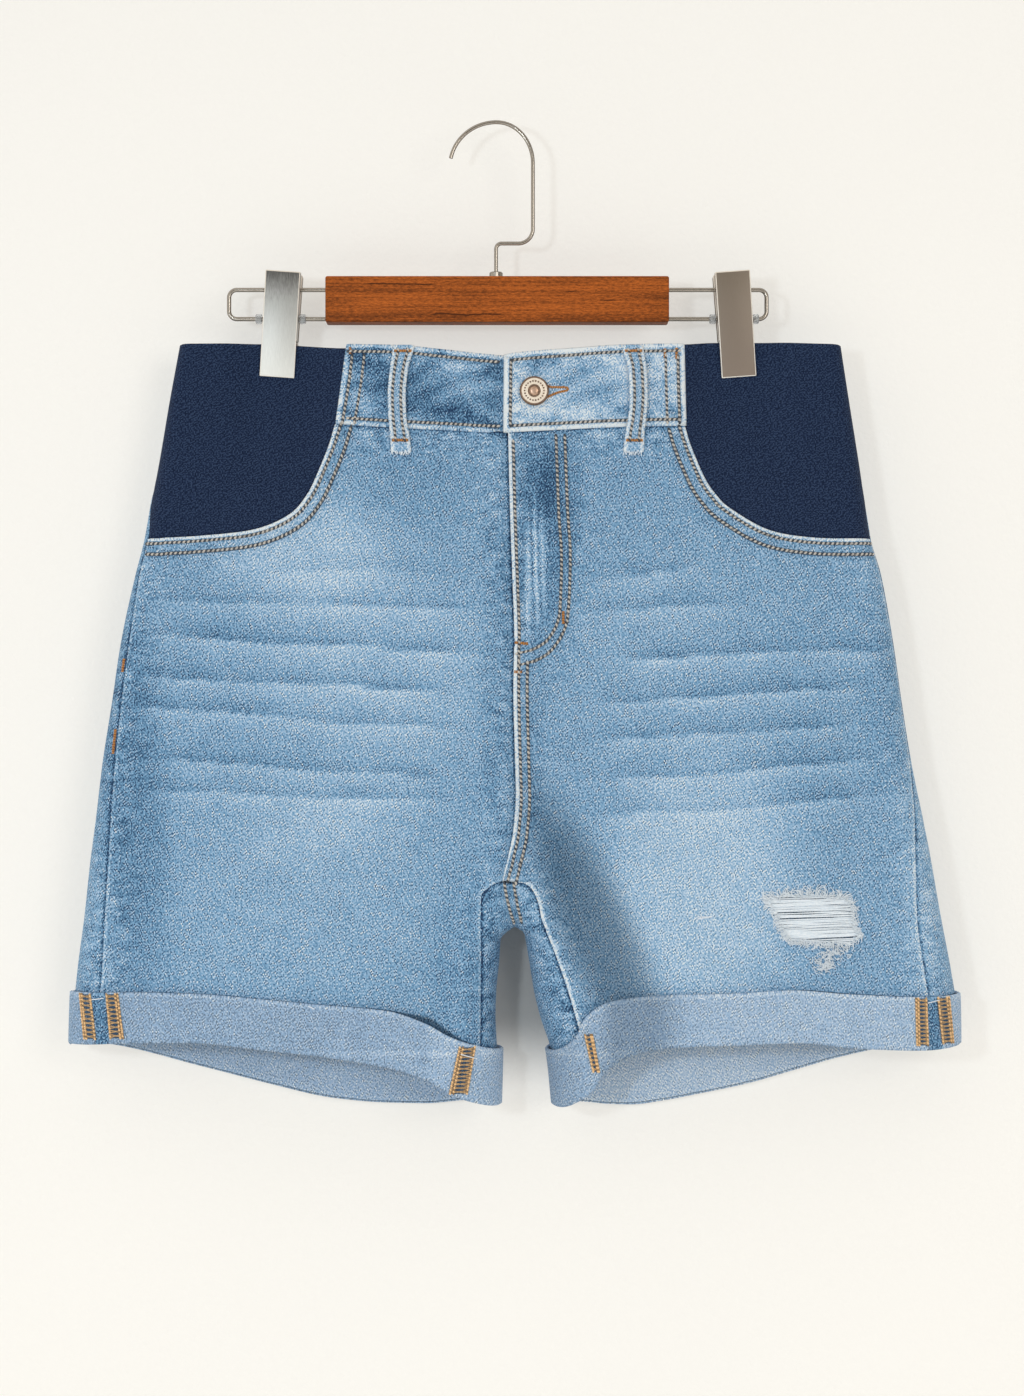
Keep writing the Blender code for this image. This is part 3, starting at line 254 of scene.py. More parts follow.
# Folds: side, top x and height, foot x and height, width, rise.  The large ones come first and
# are the solids' own; the soft small ones are only in the cloth.
FOLDS = np.array([
    (-1, -140.0, -300.0, -120.0, -530.0, 45.0, 2.0),
    (-1, -30.0, -452.0, -52.0, -545.0, 18.0, -2.4),
    (-1, 30.0, -405.0, 74.0, -530.0, 15.0, -3.0),
    (-1, 62.0, -400.0, 122.0, -525.0, 26.0, 2.4),
    (-1, 205.0, -340.0, 214.0, -500.0, 15.0, -1.6),
    (-1, -200.0, -330.0, -204.0, -500.0, 14.0, -1.4),
    (1, -95.0, -300.0, -95.0, -360.0, 55.0, 4.0),
    (1, 105.0, -300.0, 105.0, -360.0, 55.0, 4.0),
    (1, -20.0, -425.0, -110.0, -405.0, 15.0, -2.6),
    (1, 40.0, -425.0, 130.0, -410.0, 14.0, -2.2),
    (1, -60.0, -440.0, -84.0, -545.0, 20.0, -2.4),
    (1, 90.0, -450.0, 112.0, -540.0, 22.0, -2.4),
    (1, -150.0, -440.0, -160.0, -540.0, 30.0, 2.2),
    (1, 180.0, -430.0, 186.0, -530.0, 28.0, 2.0),
    # Crotch creases and slack of the front.
    (-1, 0.0, -432.0, -34.0, -446.0, 4.5, -0.9),
    (-1, -4.0, -420.0, -60.0, -428.0, 6.0, -0.7),
    (-1, 12.0, -432.0, 40.0, -452.0, 5.0, -1.0),
    (-1, 16.0, -416.0, 66.0, -430.0, 6.0, -0.7),
    (-1, -24.0, -470.0, -34.0, -520.0, 6.0, -0.9),
    (-1, 40.0, -462.0, 60.0, -512.0, 6.0, -1.1),
    (-1, -98.0, -186.0, -70.0, -196.0, 6.0, -0.6),
    (-1, 112.0, -190.0, 92.0, -206.0, 6.0, -0.6),
    (-1, -30.0, -190.0, -34.0, -230.0, 7.0, 0.5),
    (-1, 62.0, -190.0, 60.0, -224.0, 8.0, 0.5),
    (-1, -186.0, -420.0, -150.0, -470.0, 16.0, 0.7),
    (-1, 186.0, -400.0, 160.0, -450.0, 16.0, 0.7),
    # Seat and thigh creases of the back.
    (1, -16.0, -404.0, -86.0, -392.0, 7.0, -1.1),
    (1, 26.0, -404.0, 104.0, -394.0, 7.0, -1.0),
    (1, -26.0, -446.0, -120.0, -436.0, 8.0, -1.0),
    (1, 44.0, -448.0, 130.0, -442.0, 8.0, -1.0),
    (1, -170.0, -296.0, -60.0, -286.0, 9.0, 0.7),
    (1, 60.0, -286.0, 176.0, -300.0, 9.0, 0.7),
    (1, -186.0, -470.0, -60.0, -482.0, 10.0, -0.7),
    (1, 66.0, -486.0, 196.0, -476.0, 10.0, -0.7),
])

# Whiskers: three points of each worn crease on the front, its dark line, its pale foot, rise.
WHISKERS = np.array([
    (60.0, -266.2, 89.0, -262.7, 119.2, -259.3, 0.10, 0.10, 0.15),
    (60.0, -284.2, 100.6, -282.5, 143.0, -280.1, 0.15, 0.13, 0.2),
    (72.0, -313.8, 130.8, -309.1, 225.9, -306.8, 0.17, 0.15, 0.25),
    (60.0, -337.6, 160.4, -331.8, 213.7, -327.7, 0.17, 0.15, 0.25),
    (60.0, -359.0, 130.8, -355.0, 207.9, -350.9, 0.15, 0.14, 0.25),
    (60.0, -382.2, 107.6, -379.9, 213.7, -370.6, 0.15, 0.15, 0.25),
    (60.0, -402.5, 119.2, -400.2, 225.9, -390.9, 0.12, 0.12, 0.2),
    (-128.5, -261.6, -79.2, -260.4, -32.8, -262.2, 0.08, 0.08, 0.15),
    (-195.2, -277.8, -102.4, -281.3, -9.6, -283.6, 0.14, 0.12, 0.2),
    (-201.0, -298.1, -114.0, -303.9, -15.4, -308.0, 0.20, 0.15, 0.25),
    (-206.8, -323.1, -114.0, -326.5, -27.0, -331.2, 0.18, 0.15, 0.25),
    (-212.6, -338.7, -119.8, -346.3, -27.0, -353.2, 0.16, 0.14, 0.2),
    (-201.0, -369.5, -119.8, -375.3, -32.8, -381.1, 0.15, 0.14, 0.25),
    (-201.0, -388.0, -114.0, -391.5, -27.0, -395.0, 0.12, 0.13, 0.2),
])

# Wash of the front and back, and one painted shadow (the row at x 0, beside the left front's
# edge): side, middle x and height, half sizes, turn in degrees, amount.
WASH_AND_SHADE = np.array([
    (-1, -112.0, -446.0, 84.0, 66.0, 6.0, 0.09),
    (-1, -100.0, -410.0, 44.0, 22.0, 8.0, 0.12),
    (-1, -110.0, -250.0, 50.0, 34.0, 0.0, 0.28),
    (-1, -48.0, -205.0, 34.0, 30.0, 0.0, -0.08),
    (-1, -66.0, -320.0, 70.0, 60.0, 0.0, 0.14),
    (-1, 120.0, -445.0, 60.0, 73.0, -14.0, 0.32),
    (-1, 96.0, -300.0, 60.0, 60.0, 0.0, 0.06),
    (-1, 18.2, -264.0, 1.3, 38.0, 1.0, 0.66),
    (-1, 22.8, -255.0, 1.5, 38.0, 1.0, 0.76),
    (-1, 27.0, -254.0, 1.5, 30.0, 1.0, 0.58),
    (-1, 27.0, -242.0, 18.0, 62.0, 0.0, -0.27),
    (-1, 66.0, -222.0, 50.0, 36.0, 0.0, -0.03),
    (-1, 27.0, -207.0, 12.0, 29.0, 0.0, -0.18),
    (-1, 31.0, -214.0, 5.0, 16.0, 0.0, -0.14),
    (-1, 46.0, -215.0, 5.0, 34.0, 0.0, -0.10),
    # Painted shadow: a dark line beside the left front's edge, on the right front.
    (-1, 0.0, -330.0, 9.0, 100.0, 0.0, -0.13),
    (-1, 22.0, -350.0, 6.0, 60.0, 0.0, -0.08),
    (-1, -212.0, -380.0, 22.0, 120.0, 4.0, -0.22),
    (-1, 228.0, -330.0, 16.0, 60.0, -6.0, -0.06),
    (-1, -18.0, -500.0, 22.0, 70.0, 0.0, -0.12),
    (-1, 29.0, -420.0, 8.0, 32.0, 20.0, -0.12),
    (-1, 247.0, -440.0, 16.0, 90.0, 0.0, 0.12),
    (-1, 178.0, -400.0, 24.0, 60.0, 0.0, -0.06),
    (1, -100.0, -350.0, 80.0, 90.0, 0.0, 0.12),
    (1, 112.0, -350.0, 80.0, 90.0, 0.0, 0.12),
    (1, -110.0, -470.0, 80.0, 50.0, 0.0, 0.08),
    (1, 130.0, -470.0, 80.0, 50.0, 0.0, 0.08),
])

# Soft shadow on the front, in the same columns; the amount is how much light is gone.
SHADE = np.array([
    (-1, 58.0, -468.0, 21.0, 84.0, 24.0, 0.70),
])

# Outline of the torn place on the left thigh.
RIP = np.array([
    (155.0, -449.6), (170.0, -447.8), (186.0, -447.6), (201.4, -449.4), (205.4, -456.0),
    (204.9, -463.3), (209.0, -471.5), (204.0, -476.4), (186.0, -476.4), (168.5, -474.0),
    (163.6, -466.0), (159.5, -457.0),
])


def mix(low, high, share):
    """Value at a share of the way from low to high."""
    return low + (high - low) * share


def ease(value, low, high):
    """0 at low, 1 at high, smooth between them; low may be above high."""
    t = np.clip((np.asarray(value, float) - low) / (high - low), 0.0, 1.0)
    return t * t * (3 - 2 * t)


def pairs(x, z):
    """Points of a flat view from their sideways places and heights."""
    return np.stack(np.broadcast_arrays(x, z), -1)


# --- The skin ----------------------------------------------------------------------------------
class Section:
    """Level sections of one half of the garment, or of the whole body, at many heights."""

    def __init__(self, part, z, lift=0.0):
        z = np.asarray(z, float)
        self.turn = -1.0 if part == "left" else 1.0
        self.radius = DEPTH.half_depth(z) + lift
        below = np.where(z < CROTCH_FOOT, lift, 0.0)
        if part == "left":
            self.outer = SIDES.left_edge(z) + lift
            self.inner = inner_line("left", z) - below
        else:
            self.outer = SIDES.right_edge(z) - lift
            self.inner = inner_line("right", z) + below
            if part == "body":
                self.inner = SIDES.left_edge(z) + lift
        self.arc = math.pi / 2 * self.radius
        self.flat = np.abs(self.inner - self.outer) - 2 * self.radius
        self.length = 2 * self.arc + self.flat

    def x_at(self, run):
        """Sideways place of a run along the cloth."""
        run = np.abs(run)
        rest = np.maximum(self.length - run, 0.0)
        near = self.outer + self.turn * self.radius * (1 - np.cos(run / self.radius))
        level = self.outer + self.turn * (self.radius + run - self.arc)
        far = self.inner - self.turn * self.radius * (1 - np.cos(rest / self.radius))
        return np.where(run < self.arc, near, np.where(run < self.arc + self.flat, level, far))

    def run_at(self, x):
        """Run along the cloth of a sideways place."""
        out = np.maximum(self.turn * (x - self.outer), 0.0)
        back = np.maximum(self.turn * (self.inner - x), 0.0)
        near = self.radius * np.arccos(np.clip(1 - out / self.radius, -1, 1))
        far = self.length - self.radius * np.arccos(np.clip(1 - back / self.radius, -1, 1))
        level = self.arc + out - self.radius
        return np.where(out < self.radius, near, np.where(back < self.radius, far, level))

    def flat_x(self, run):
        """Sideways place on the cloth laid flat, for weave and wear; run keeps its sign."""
        return self.outer + self.turn * (self.radius - self.arc - run)


def inner_line(part, z):
    """Centre seam, rise and inner fold of one half, from the waist to the hem."""
    gap = -SEAM_GAP / 2 if part == "right" else SEAM_GAP / 2
    below = INNER.right_inner(z) if part == "right" else INNER.left_inner(z)
    return np.where(z > CROTCH_POINT, CENTRE.middle(z) + gap, below)


def clearance(x, z):
    """Distance from a point of the front view to the outline round it."""
    gap = np.minimum(x - SIDES.right_edge(z), SIDES.left_edge(z) - x)
    low = np.minimum(z, CROTCH_FOOT)
    right, left = inner_line("right", low), inner_line("left", low)
    above = np.hypot(np.maximum(np.maximum(right - x, x - left), 0.0), z - CROTCH_FOOT)
    below = np.where(x < (right + left) / 2, right - x, x - left)
    return np.minimum(gap, np.where(z > CROTCH_FOOT, above, below))


def fold_rise(side, x, z):
    """Sum of the folds and whiskers at points of the front or the back."""
    total = np.zeros(np.broadcast(x, z).shape)
    for facing, x0, z0, x1, z1, width, rise in FOLDS:
        dx, dz = x1 - x0, z1 - z0
        share = np.clip(((x - x0) * dx + (z - z0) * dz) / (dx * dx + dz * dz), 0.0, 1.0)
        away = np.hypot(x - x0 - share * dx, z - z0 - share * dz)
        total += np.where(side == facing, rise * np.exp(-((away / width) ** 2)), 0.0)
    for row in WHISKERS:
        away, reach = whisker_place(row, x, z)
        total += np.where(side < 0, row[8] * reach * np.exp(-(((away + 3.0) / 3.0) ** 2)), 0.0)
    slack = np.sin(x / 19.0 + 1.3) * np.sin(z / 26.0 + 0.4) + np.sin(x / 33.0 - z / 21.0)
    return total + 0.22 * slack


def whisker_place(row, x, z):
    """Height above a whisker's line, and its strength towards its ends."""
    line = np.interp(x, row[0:6:2], row[1:6:2])
    reach = ease(x, row[0] - 14.0, row[0] + 22.0) * ease(x, row[4] + 10.0, row[4] - 26.0)
    reach = reach * (0.85 + 0.3 * np.sin(x / 13.0 + row[1]) * np.sin(x / 31.0 + row[3]))
    return z - line + 0.5 * np.sin(x / 17.0 + row[1]) + 0.3 * np.sin(x / 6.3 + row[3]), reach


def half_depth(side, x, z, lift):
    """How far the cloth lies in front of or behind the middle plane."""
    reach = np.minimum(np.abs(x - CLIP_X[0]), np.abs(x - CLIP_X[1]))
    pinch = ease(reach, PINCH_REACH, PINCH_FLAT) * ease(z, PINCH_FADE, PINCH_FOOT)
    radius = DEPTH.half_depth(z) + lift
    full = mix(DEPTH.half_depth(z), PINCHED_HALF_DEPTH, pinch) + lift
    room = np.maximum(clearance(x, z) + lift, 0.0)
    short = 1 - np.minimum(room / radius, 1.0)
    quiet = ease(room, 0.0, FOLD_FADE) * (1 - pinch)
    return full * np.sqrt(1 - short * short) + fold_rise(side, x, z) * quiet


def skin(part, run, z, lift=0.0):
    """Points of the cloth's middle surface, in millimetres."""
    section = Section(part, z, lift)
    run = np.asarray(run, float)
    over = np.abs(run) > section.length
    run = np.where(over, np.copysign(2 * section.length - np.abs(run), -run), run)
    side = np.where(run < 0, -1.0, 1.0)
    x = section.x_at(run)
    y = side * half_depth(side, x, z, lift)
    y = np.where((np.abs(run) >= section.length - 1e-9) & (z <= CROTCH_FOOT), 0.0, y)
    return np.stack(np.broadcast_arrays(x, y, z), -1)


def outward(part, run, z, lift=0.0):
    """Directions out of the cloth at points of the skin."""
    step = 0.05
    turn = -1.0 if part == "left" else 1.0
    length = Section(part, z, lift).length
    end = (np.abs(run) > length - 0.5) & (part != "body")
    inside = np.where(end, np.copysign(length - 0.6, run), run)
    across = skin(part, inside + step, z, lift) - skin(part, inside - step, z, lift)
    upward = skin(part, inside, z + step, lift) - skin(part, inside, z - step, lift)
    normal = np.cross(upward, across) * turn
    normal /= np.linalg.norm(normal, axis=-1, keepdims=True)
    fold = np.where((z > CROTCH_FOOT - 1.0)[..., None], (turn * 0.2, 0.0, -0.98), (turn, 0.0, 0.0))
    return np.where((end & (z <= CROTCH_FOOT))[..., None], fold, normal)


def surface(part, run, z, lift=0.0):
    """Points of the skin, and the directions out of the cloth there."""
    return skin(part, run, z, lift), outward(part, run, z, lift)


def seam_run(part, z):
    """Run from the outer fold to the side seam: in front, but just behind at the knit."""
    edge = SIDES.left_seam(z) if part == "left" else SIDES.right_seam(z)
    run = np.maximum(Section(part, z).run_at(edge), MIN_WRAP)
    return run - KNIT_WRAP * ease(z, INSET_FOOT, KNIT_WRAP_FOOT)


def inner_end(part, z):
    """Run from the outer fold to a front panel's inner edge: centre seam or inseam."""
    section = Section(part, z)
    inseam = INNER.left_inseam(z) if part == "left" else INNER.right_inseam(z)
    return np.where(z >= CROTCH_POINT, section.length, section.run_at(inseam))


def front_run(part, share, z):
    """Run of a front panel's column at a height, inside its seam gaps."""
    start = seam_run(part, z) + SEAM_GAP / 2
    end = inner_end(part, z) - np.where(z < CROTCH_POINT, SEAM_GAP / 2, 0.0)
    level = mix(Section(part, z).length, end, ease(z, CROTCH_POINT, SHEAR_FOOT))
    pull = np.maximum(share - SHEAR_START, 0.0) / (1.0 - SHEAR_START)
    return -(mix(start, level, share) + (end - level) * pull)


def front_flat(part, run, z):
    """Sideways place on a front laid flat: its own arc below the crotch, level above it."""
    section = Section(part, z)
    inner = np.abs(run) > section.arc + section.flat / 2
    level = ease(z, CROTCH_FOOT, -400.0) * inner
    return mix(section.flat_x(run), section.x_at(run), level)


def hem_height(part, run, column):
    """Height of the hem below columns whose run is given at the hem's level."""
    return getattr(HEM, column)(Section(part, np.full(np.shape(run), HEM_LEVEL)).x_at(run))


# --- Wash, wear and seams ----------------------------------------------------------------------
def nearest(path, u, v):
    """Distance to a path of points, and how far along the path that is."""
    best = np.full(np.shape(u), 1e6)
    along = np.zeros(np.shape(u))
    gone = 0.0
    for a, b in zip(path, path[1:]):
        du, dv = b[0] - a[0], b[1] - a[1]
        size = max(math.hypot(du, dv), 1e-6)
        share = np.clip(((u - a[0]) * du + (v - a[1]) * dv) / size ** 2, 0.0, 1.0)
        away = np.hypot(u - a[0] - share * du, v - a[1] - share * dv)
        closer = away < best
        best = np.where(closer, away, best)
        along = np.where(closer, gone + share * size, along)
        gone += size
    return best, along


def spots(table, side, x, z):
    """Sum of the soft turned ovals of a table."""
    total = np.zeros(np.broadcast(x, z).shape)
    for facing, x0, z0, half_x, half_z, turn, amount in table:
        c, s = math.cos(math.radians(turn)), math.sin(math.radians(turn))
        u = ((x - x0) * c + (z - z0) * s) / half_x
        v = ((z - z0) * c - (x - x0) * s) / half_z
        total += np.where(side == facing, amount * np.exp(-((u * u + v * v) ** 2)), 0.0)
    return total


def washed_and_shaded(side, x, z):
    """Wash of the denim and a painted shadow: above 0 is paler, below 0 is darker."""
    total = spots(WASH_AND_SHADE, side, x, z)
    for row in WHISKERS:
        away, reach = whisker_place(row, x, z)
        dark = 1.9 * row[6] * np.exp(-np.maximum(away, 0.0) / 5.0) * ease(away, -0.6, 0.6)
        pale = 1.95 * row[7] * np.exp(np.minimum(away, 0.0) / 6.5) * ease(away, 0.6, -0.6)
        total += np.where(side < 0, reach * (pale - dark), 0.0)
    return total


def marks(u, v, side, x, z, edges=(), seams=(), extra=0.0):
    """Fields the cloth finishes read: worn edges, puckered seams, fading, painted light and shade.
    """
    far, none = np.full(np.shape(u), FAR), np.zeros(np.shape(u))
    found = {"rim": far, "wear": none, "seam": far, "along": none, "pucker": none,
             "wash": washed_and_shaded(side, x, z) + extra, "shade": spots(SHADE, side, x, z), "gap_shadow_height": far}
    for lines, near, strength in ((edges, "rim", "wear"), (seams, "seam", "pucker")):
        for line, amount in lines:
            away, along = nearest(line, u, v)
            closer = away < found[near]
            found[near] = np.where(closer, away, found[near])
            found[strength] = np.where(closer, amount, found[strength])
            if near == "seam":
                found["along"] = np.where(closer, along, found["along"])
    return found


# --- Cloth walls -------------------------------------------------------------------------------
FIELDS = ("rim", "wear", "seam", "along", "pucker", "wash", "shade", "gap_shadow_height")


def placed(name, data):
    """New object in the scene."""
    made = bpy.data.objects.new(name, data)
    bpy.context.scene.collection.objects.link(made)
    return made


class Cloth:
    """A sheet collected as grids of points, then closed into a thin wall with rounded edges."""

    def __init__(self, wall):
        self.half = wall / 2
        self.points, self.normals, self.flat, self.quads = [], [], [], []
        self.fields = {name: [] for name in FIELDS}
        self.count = 0

    def add(self, points, normals, u, v, found):
        """Add a grid of points; gives their numbers in the same shape."""
        number = points.size // 3
        self.points.append(points.reshape(-1, 3))
        self.normals.append(normals.reshape(-1, 3))
        self.flat.append(pairs(u, v).reshape(-1, 2))
        for name in FIELDS:
            self.fields[name].append(np.broadcast_to(found[name], points.shape[:-1]).ravel())
        first = self.count
        self.count += number
        return np.arange(first, first + number).reshape(points.shape[:-1])

    def patch(self, grid, keep=None):
        """Quads over a grid of point numbers, without those where keep is false."""
        corners = (grid[:-1, :-1], grid[1:, :-1], grid[1:, 1:], grid[:-1, 1:])
        quads = np.stack(corners, -1).reshape(-1, 4)
        if keep is not None:
            quads = quads[keep.ravel()]
        self.quads.append(quads)

    def oriented(self):
        """All quads, each grid turned so that it faces outwards."""
        points, normals = np.concatenate(self.points), np.concatenate(self.normals)
        turned = []
        for quads in self.quads:
            a, b, c, d = (points[quads[:, k]] for k in range(4))
            facing = np.sum(np.cross(c - a, d - b) * normals[quads[:, 0]])
            turned.append(quads if facing > 0 else quads[:, ::-1])
        return points, normals, np.concatenate(turned)

    def build(self, name, outside, inside=None):
        """Closed wall: outer face, inner face and a rounded rim round every open edge."""
        points, normals, quads = self.oriented()
        count = len(points)
        a = quads.ravel()
        b = np.roll(quads, -1, axis=1).ravel()
        rim = ~np.isin(a * count + b, b * count + a)
        a, b = a[rim], b[rim]
        away = np.cross(points[b] - points[a], normals[a])
        away /= np.maximum(np.linalg.norm(away, axis=1, keepdims=True), 1e-9)
        rims = np.unique(a)
        place = np.full(count, -1)
        place[rims] = np.arange(len(rims))
        push = np.zeros((len(rims), 3))
        np.add.at(push, place[a], away)
        np.add.at(push, place[b], away)
        push /= np.maximum(np.linalg.norm(push, axis=1, keepdims=True), 1e-9)
        outer = points + normals * self.half
        inner = points - normals * self.half
        edge = points[rims] + push * self.half * 0.8
        a_edge, b_edge = 2 * count + place[a], 2 * count + place[b]
        lining = quads[:, ::-1] + count
        upper = np.stack((b, a, a_edge, b_edge), 1)
        lower = np.stack((b_edge, a_edge, a + count, b + count), 1)
        faces = np.concatenate((quads, upper, lower, lining))
        mesh = bpy.data.meshes.new(name)
        vertices = np.concatenate((outer, inner, edge)) * MM
        mesh.from_pydata(vertices.tolist(), [], faces.tolist())
        mesh.materials.append(outside)
        if inside is not None:
            mesh.materials.append(inside)
            index = np.zeros(len(faces), dtype=np.int32)
            index[-len(lining):] = 1
            mesh.polygons.foreach_set("material_index", index)
        order = np.concatenate((np.arange(count), np.arange(count), rims))
        flat = np.concatenate(self.flat)[order] * MM
        layer = mesh.uv_layers.new(name="UVMap")
        layer.data.foreach_set("uv", flat[faces.ravel()].ravel())
        for field, values in self.fields.items():
            data = mesh.attributes.new(field, "FLOAT", "POINT").data
            data.foreach_set("value", np.concatenate(values)[order].astype(np.float32))
        mesh.shade_smooth()
        mesh.update()
        return placed(name, mesh)


def spaced(points, count):
    """The same path with evenly spaced points."""
    points = np.asarray(points, float)
    runs = np.concatenate(([0.0], np.cumsum(np.linalg.norm(np.diff(points, axis=0), axis=1))))
    goal = np.linspace(0.0, runs[-1], count)
    return np.stack([np.interp(goal, runs, points[:, k]) for k in range(points.shape[1])], 1)


def smooth_line(points, count):
    """Evenly spaced points on a smooth curve through a list of points."""
    p = np.array(points, float)
    p = np.concatenate(([2 * p[0] - p[1]], p, [2 * p[-1] - p[-2]]))
    dense = []
    t = np.linspace(0.0, 1.0, 20, endpoint=False)[:, None]
    for a, b, c, d in zip(p, p[1:], p[2:], p[3:]):
        dense.append(0.5 * (2 * b + (c - a) * t + (2 * a - 5 * b + 4 * c - d) * t ** 2
                            + (3 * b - a - 3 * c + d) * t ** 3))
    dense.append(p[-2:-1])
    return spaced(np.concatenate(dense), count)


def beside(path, away):
    """A path moved sideways in its own plane; above 0 is to its left."""
    path = np.asarray(path, float)
    along = np.gradient(path, axis=0)
    along /= np.maximum(np.linalg.norm(along, axis=1, keepdims=True), 1e-9)
    return path + pairs(-along[:, 1], along[:, 0]) * away


# --- Seam lines --------------------------------------------------------------------------------
def inset_edge(part):
    """A knit inset's curve from the side seam to the waistband's end."""
    points = smooth_line(RIGHT_INSET if part == "right" else LEFT_INSET, 110)[::-1]
    section = Section(part, INSET_FOOT)
    start = seam_run(part, INSET_FOOT)
    shares = np.linspace(0.0, 1.0, 9)[:-1]
    near_x = section.x_at(mix(start, section.arc, shares))
    near = pairs(near_x, INSET_FOOT)
    far = section.turn * (near_x[-1] - section.outer) + 1.5
    rest = points[section.turn * (points[:, 0] - section.outer) > far]
    return np.concatenate((near, rest))


def band_foot_edge(part):
    """Edge of a front panel below the waistband, from the inset's corner to the centre."""
    corner = (RIGHT_INSET if part == "right" else LEFT_INSET)[0][0]
    middle = float(inner_line(part, np.array(-180.0)))
    x = np.linspace(corner, middle, 50)
    return pairs(x, BAND.foot(x))


def centre_edge():
    """Edge of the left front from the waistband to the crotch."""
    z = np.linspace(CENTRE_TOP, CROTCH_POINT, 90)
    return pairs(CENTRE.middle(z), z)


def centre_flat(part):
    """The centre edge of a front, on the cloth laid flat."""
    z = np.linspace(CENTRE_TOP, CROTCH_POINT, 90)
    return pairs(front_flat(part, -Section(part, z).length, z), z)


def side_edge(part):
    """Side seam on the cloth laid flat."""
    z = np.linspace(INSET_FOOT, -534.0, 60)
    return pairs(Section(part, z).flat_x(-seam_run(part, z)), z)


def inseam_edge(part):
    """Inseam from the crotch to the hem, on the cloth laid flat."""
    z = np.linspace(CROTCH_POINT - 0.2, -566.0, 70)
    return pairs(front_flat(part, -inner_end(part, z), z), z)


FLY_LINE = [
    (39.6, -182.7), (41.2, -225.2), (42.7, -251.1), (41.7, -282.2), (39.1, -295.6),
    (31.8, -307.1), (23.5, -312.7), (12.7, -315.8),
]
FLY_INNER_LINE = [
    (34.5, -182.7), (36.0, -225.2), (37.6, -251.1), (37.1, -277.0), (35.5, -290.4),
    (29.8, -300.8), (21.5, -306.5), (11.7, -309.1),
]


# --- Cloth pieces ------------------------------------------------------------------------------
def front_edges(part):
    """Worn edges and puckered seams of a front panel."""
    inset, foot = inset_edge(part), band_foot_edge(part)
    centre, side, inseam = centre_flat(part), side_edge(part), inseam_edge(part)
    if part == "left":
        edges = [(inset, 0.8), (foot, 0.1), (centre, 0.95), (inseam, 0.75), (side, 0.5)]
        seams = [(inset, 0.3), (foot, 0.85), (centre, 0.5), (inseam, 0.45), (side, 0.3),
                 (smooth_line(FLY_LINE, 60), 0.25)]
    else:
        edges = [(inset, 0.8), (foot, 0.1), (side, 0.45), (inseam, 0.4)]
        seams = [(inset, 0.3), (foot, 0.85), (centre, 0.6), (inseam, 0.3), (side, 0.5)]
    return edges, seams


def cuff_gap_shadow_height(part, side, x, z):
    """Height over a cuff's top in widths of its painted gap shadow; 1 is the shadow's upper edge.
    """
    middle, reach, extra = (-36.0, 14.0, 3.6) if part == "right" else (52.0, 9.0, 1.8)
    width = 0.7 + extra * np.exp(-(((x - middle) / reach) ** 2)) * np.where(side < 0, 1.0, 0.0)
    return (z - cuff_height_at(side, x)[1]) / width


def heights(top, hem, above=None):
    """Heights of the rows of a panel, one line of them for each column."""
    top, hem = np.asarray(top, float)[:, None], np.asarray(hem, float)[:, None]
    upper, crotch, leg = (np.linspace(0.0, 1.0, rows + 1)[None, :] for rows in PANEL_ROWS)
    parts = [mix(top, CROTCH_POINT, upper[:, :-1]),
             mix(CROTCH_POINT, CROTCH_FOOT, crotch[:, :-1]) + 0 * top, mix(CROTCH_FOOT, hem, leg)]
    if above is not None:
        parts.insert(0, mix(above, top, np.linspace(0.0, 1.0, ABOVE_ROWS + 1)[None, :-1]))
    return np.concatenate(parts, 1)


def front_tuck(z):
    """How far the right front lies under the left one beside the centre seam."""
    return FRONT_TUCK * ease(z, CROTCH_POINT + 2.0, CROTCH_POINT + 18.0)


def inside_path(outline, x, z):
    """True where points of the front view lie inside a closed outline."""
    inside = np.zeros(np.shape(x), bool)
    for (x0, z0), (x1, z1) in zip(outline, np.roll(outline, -1, axis=0)):
        crosses = (z0 > z) != (z1 > z)
        at = x0 + (z - z0) * (x1 - x0) / (z1 - z0 if z1 != z0 else 1e-9)
        inside ^= crosses & (x < at)
    return inside


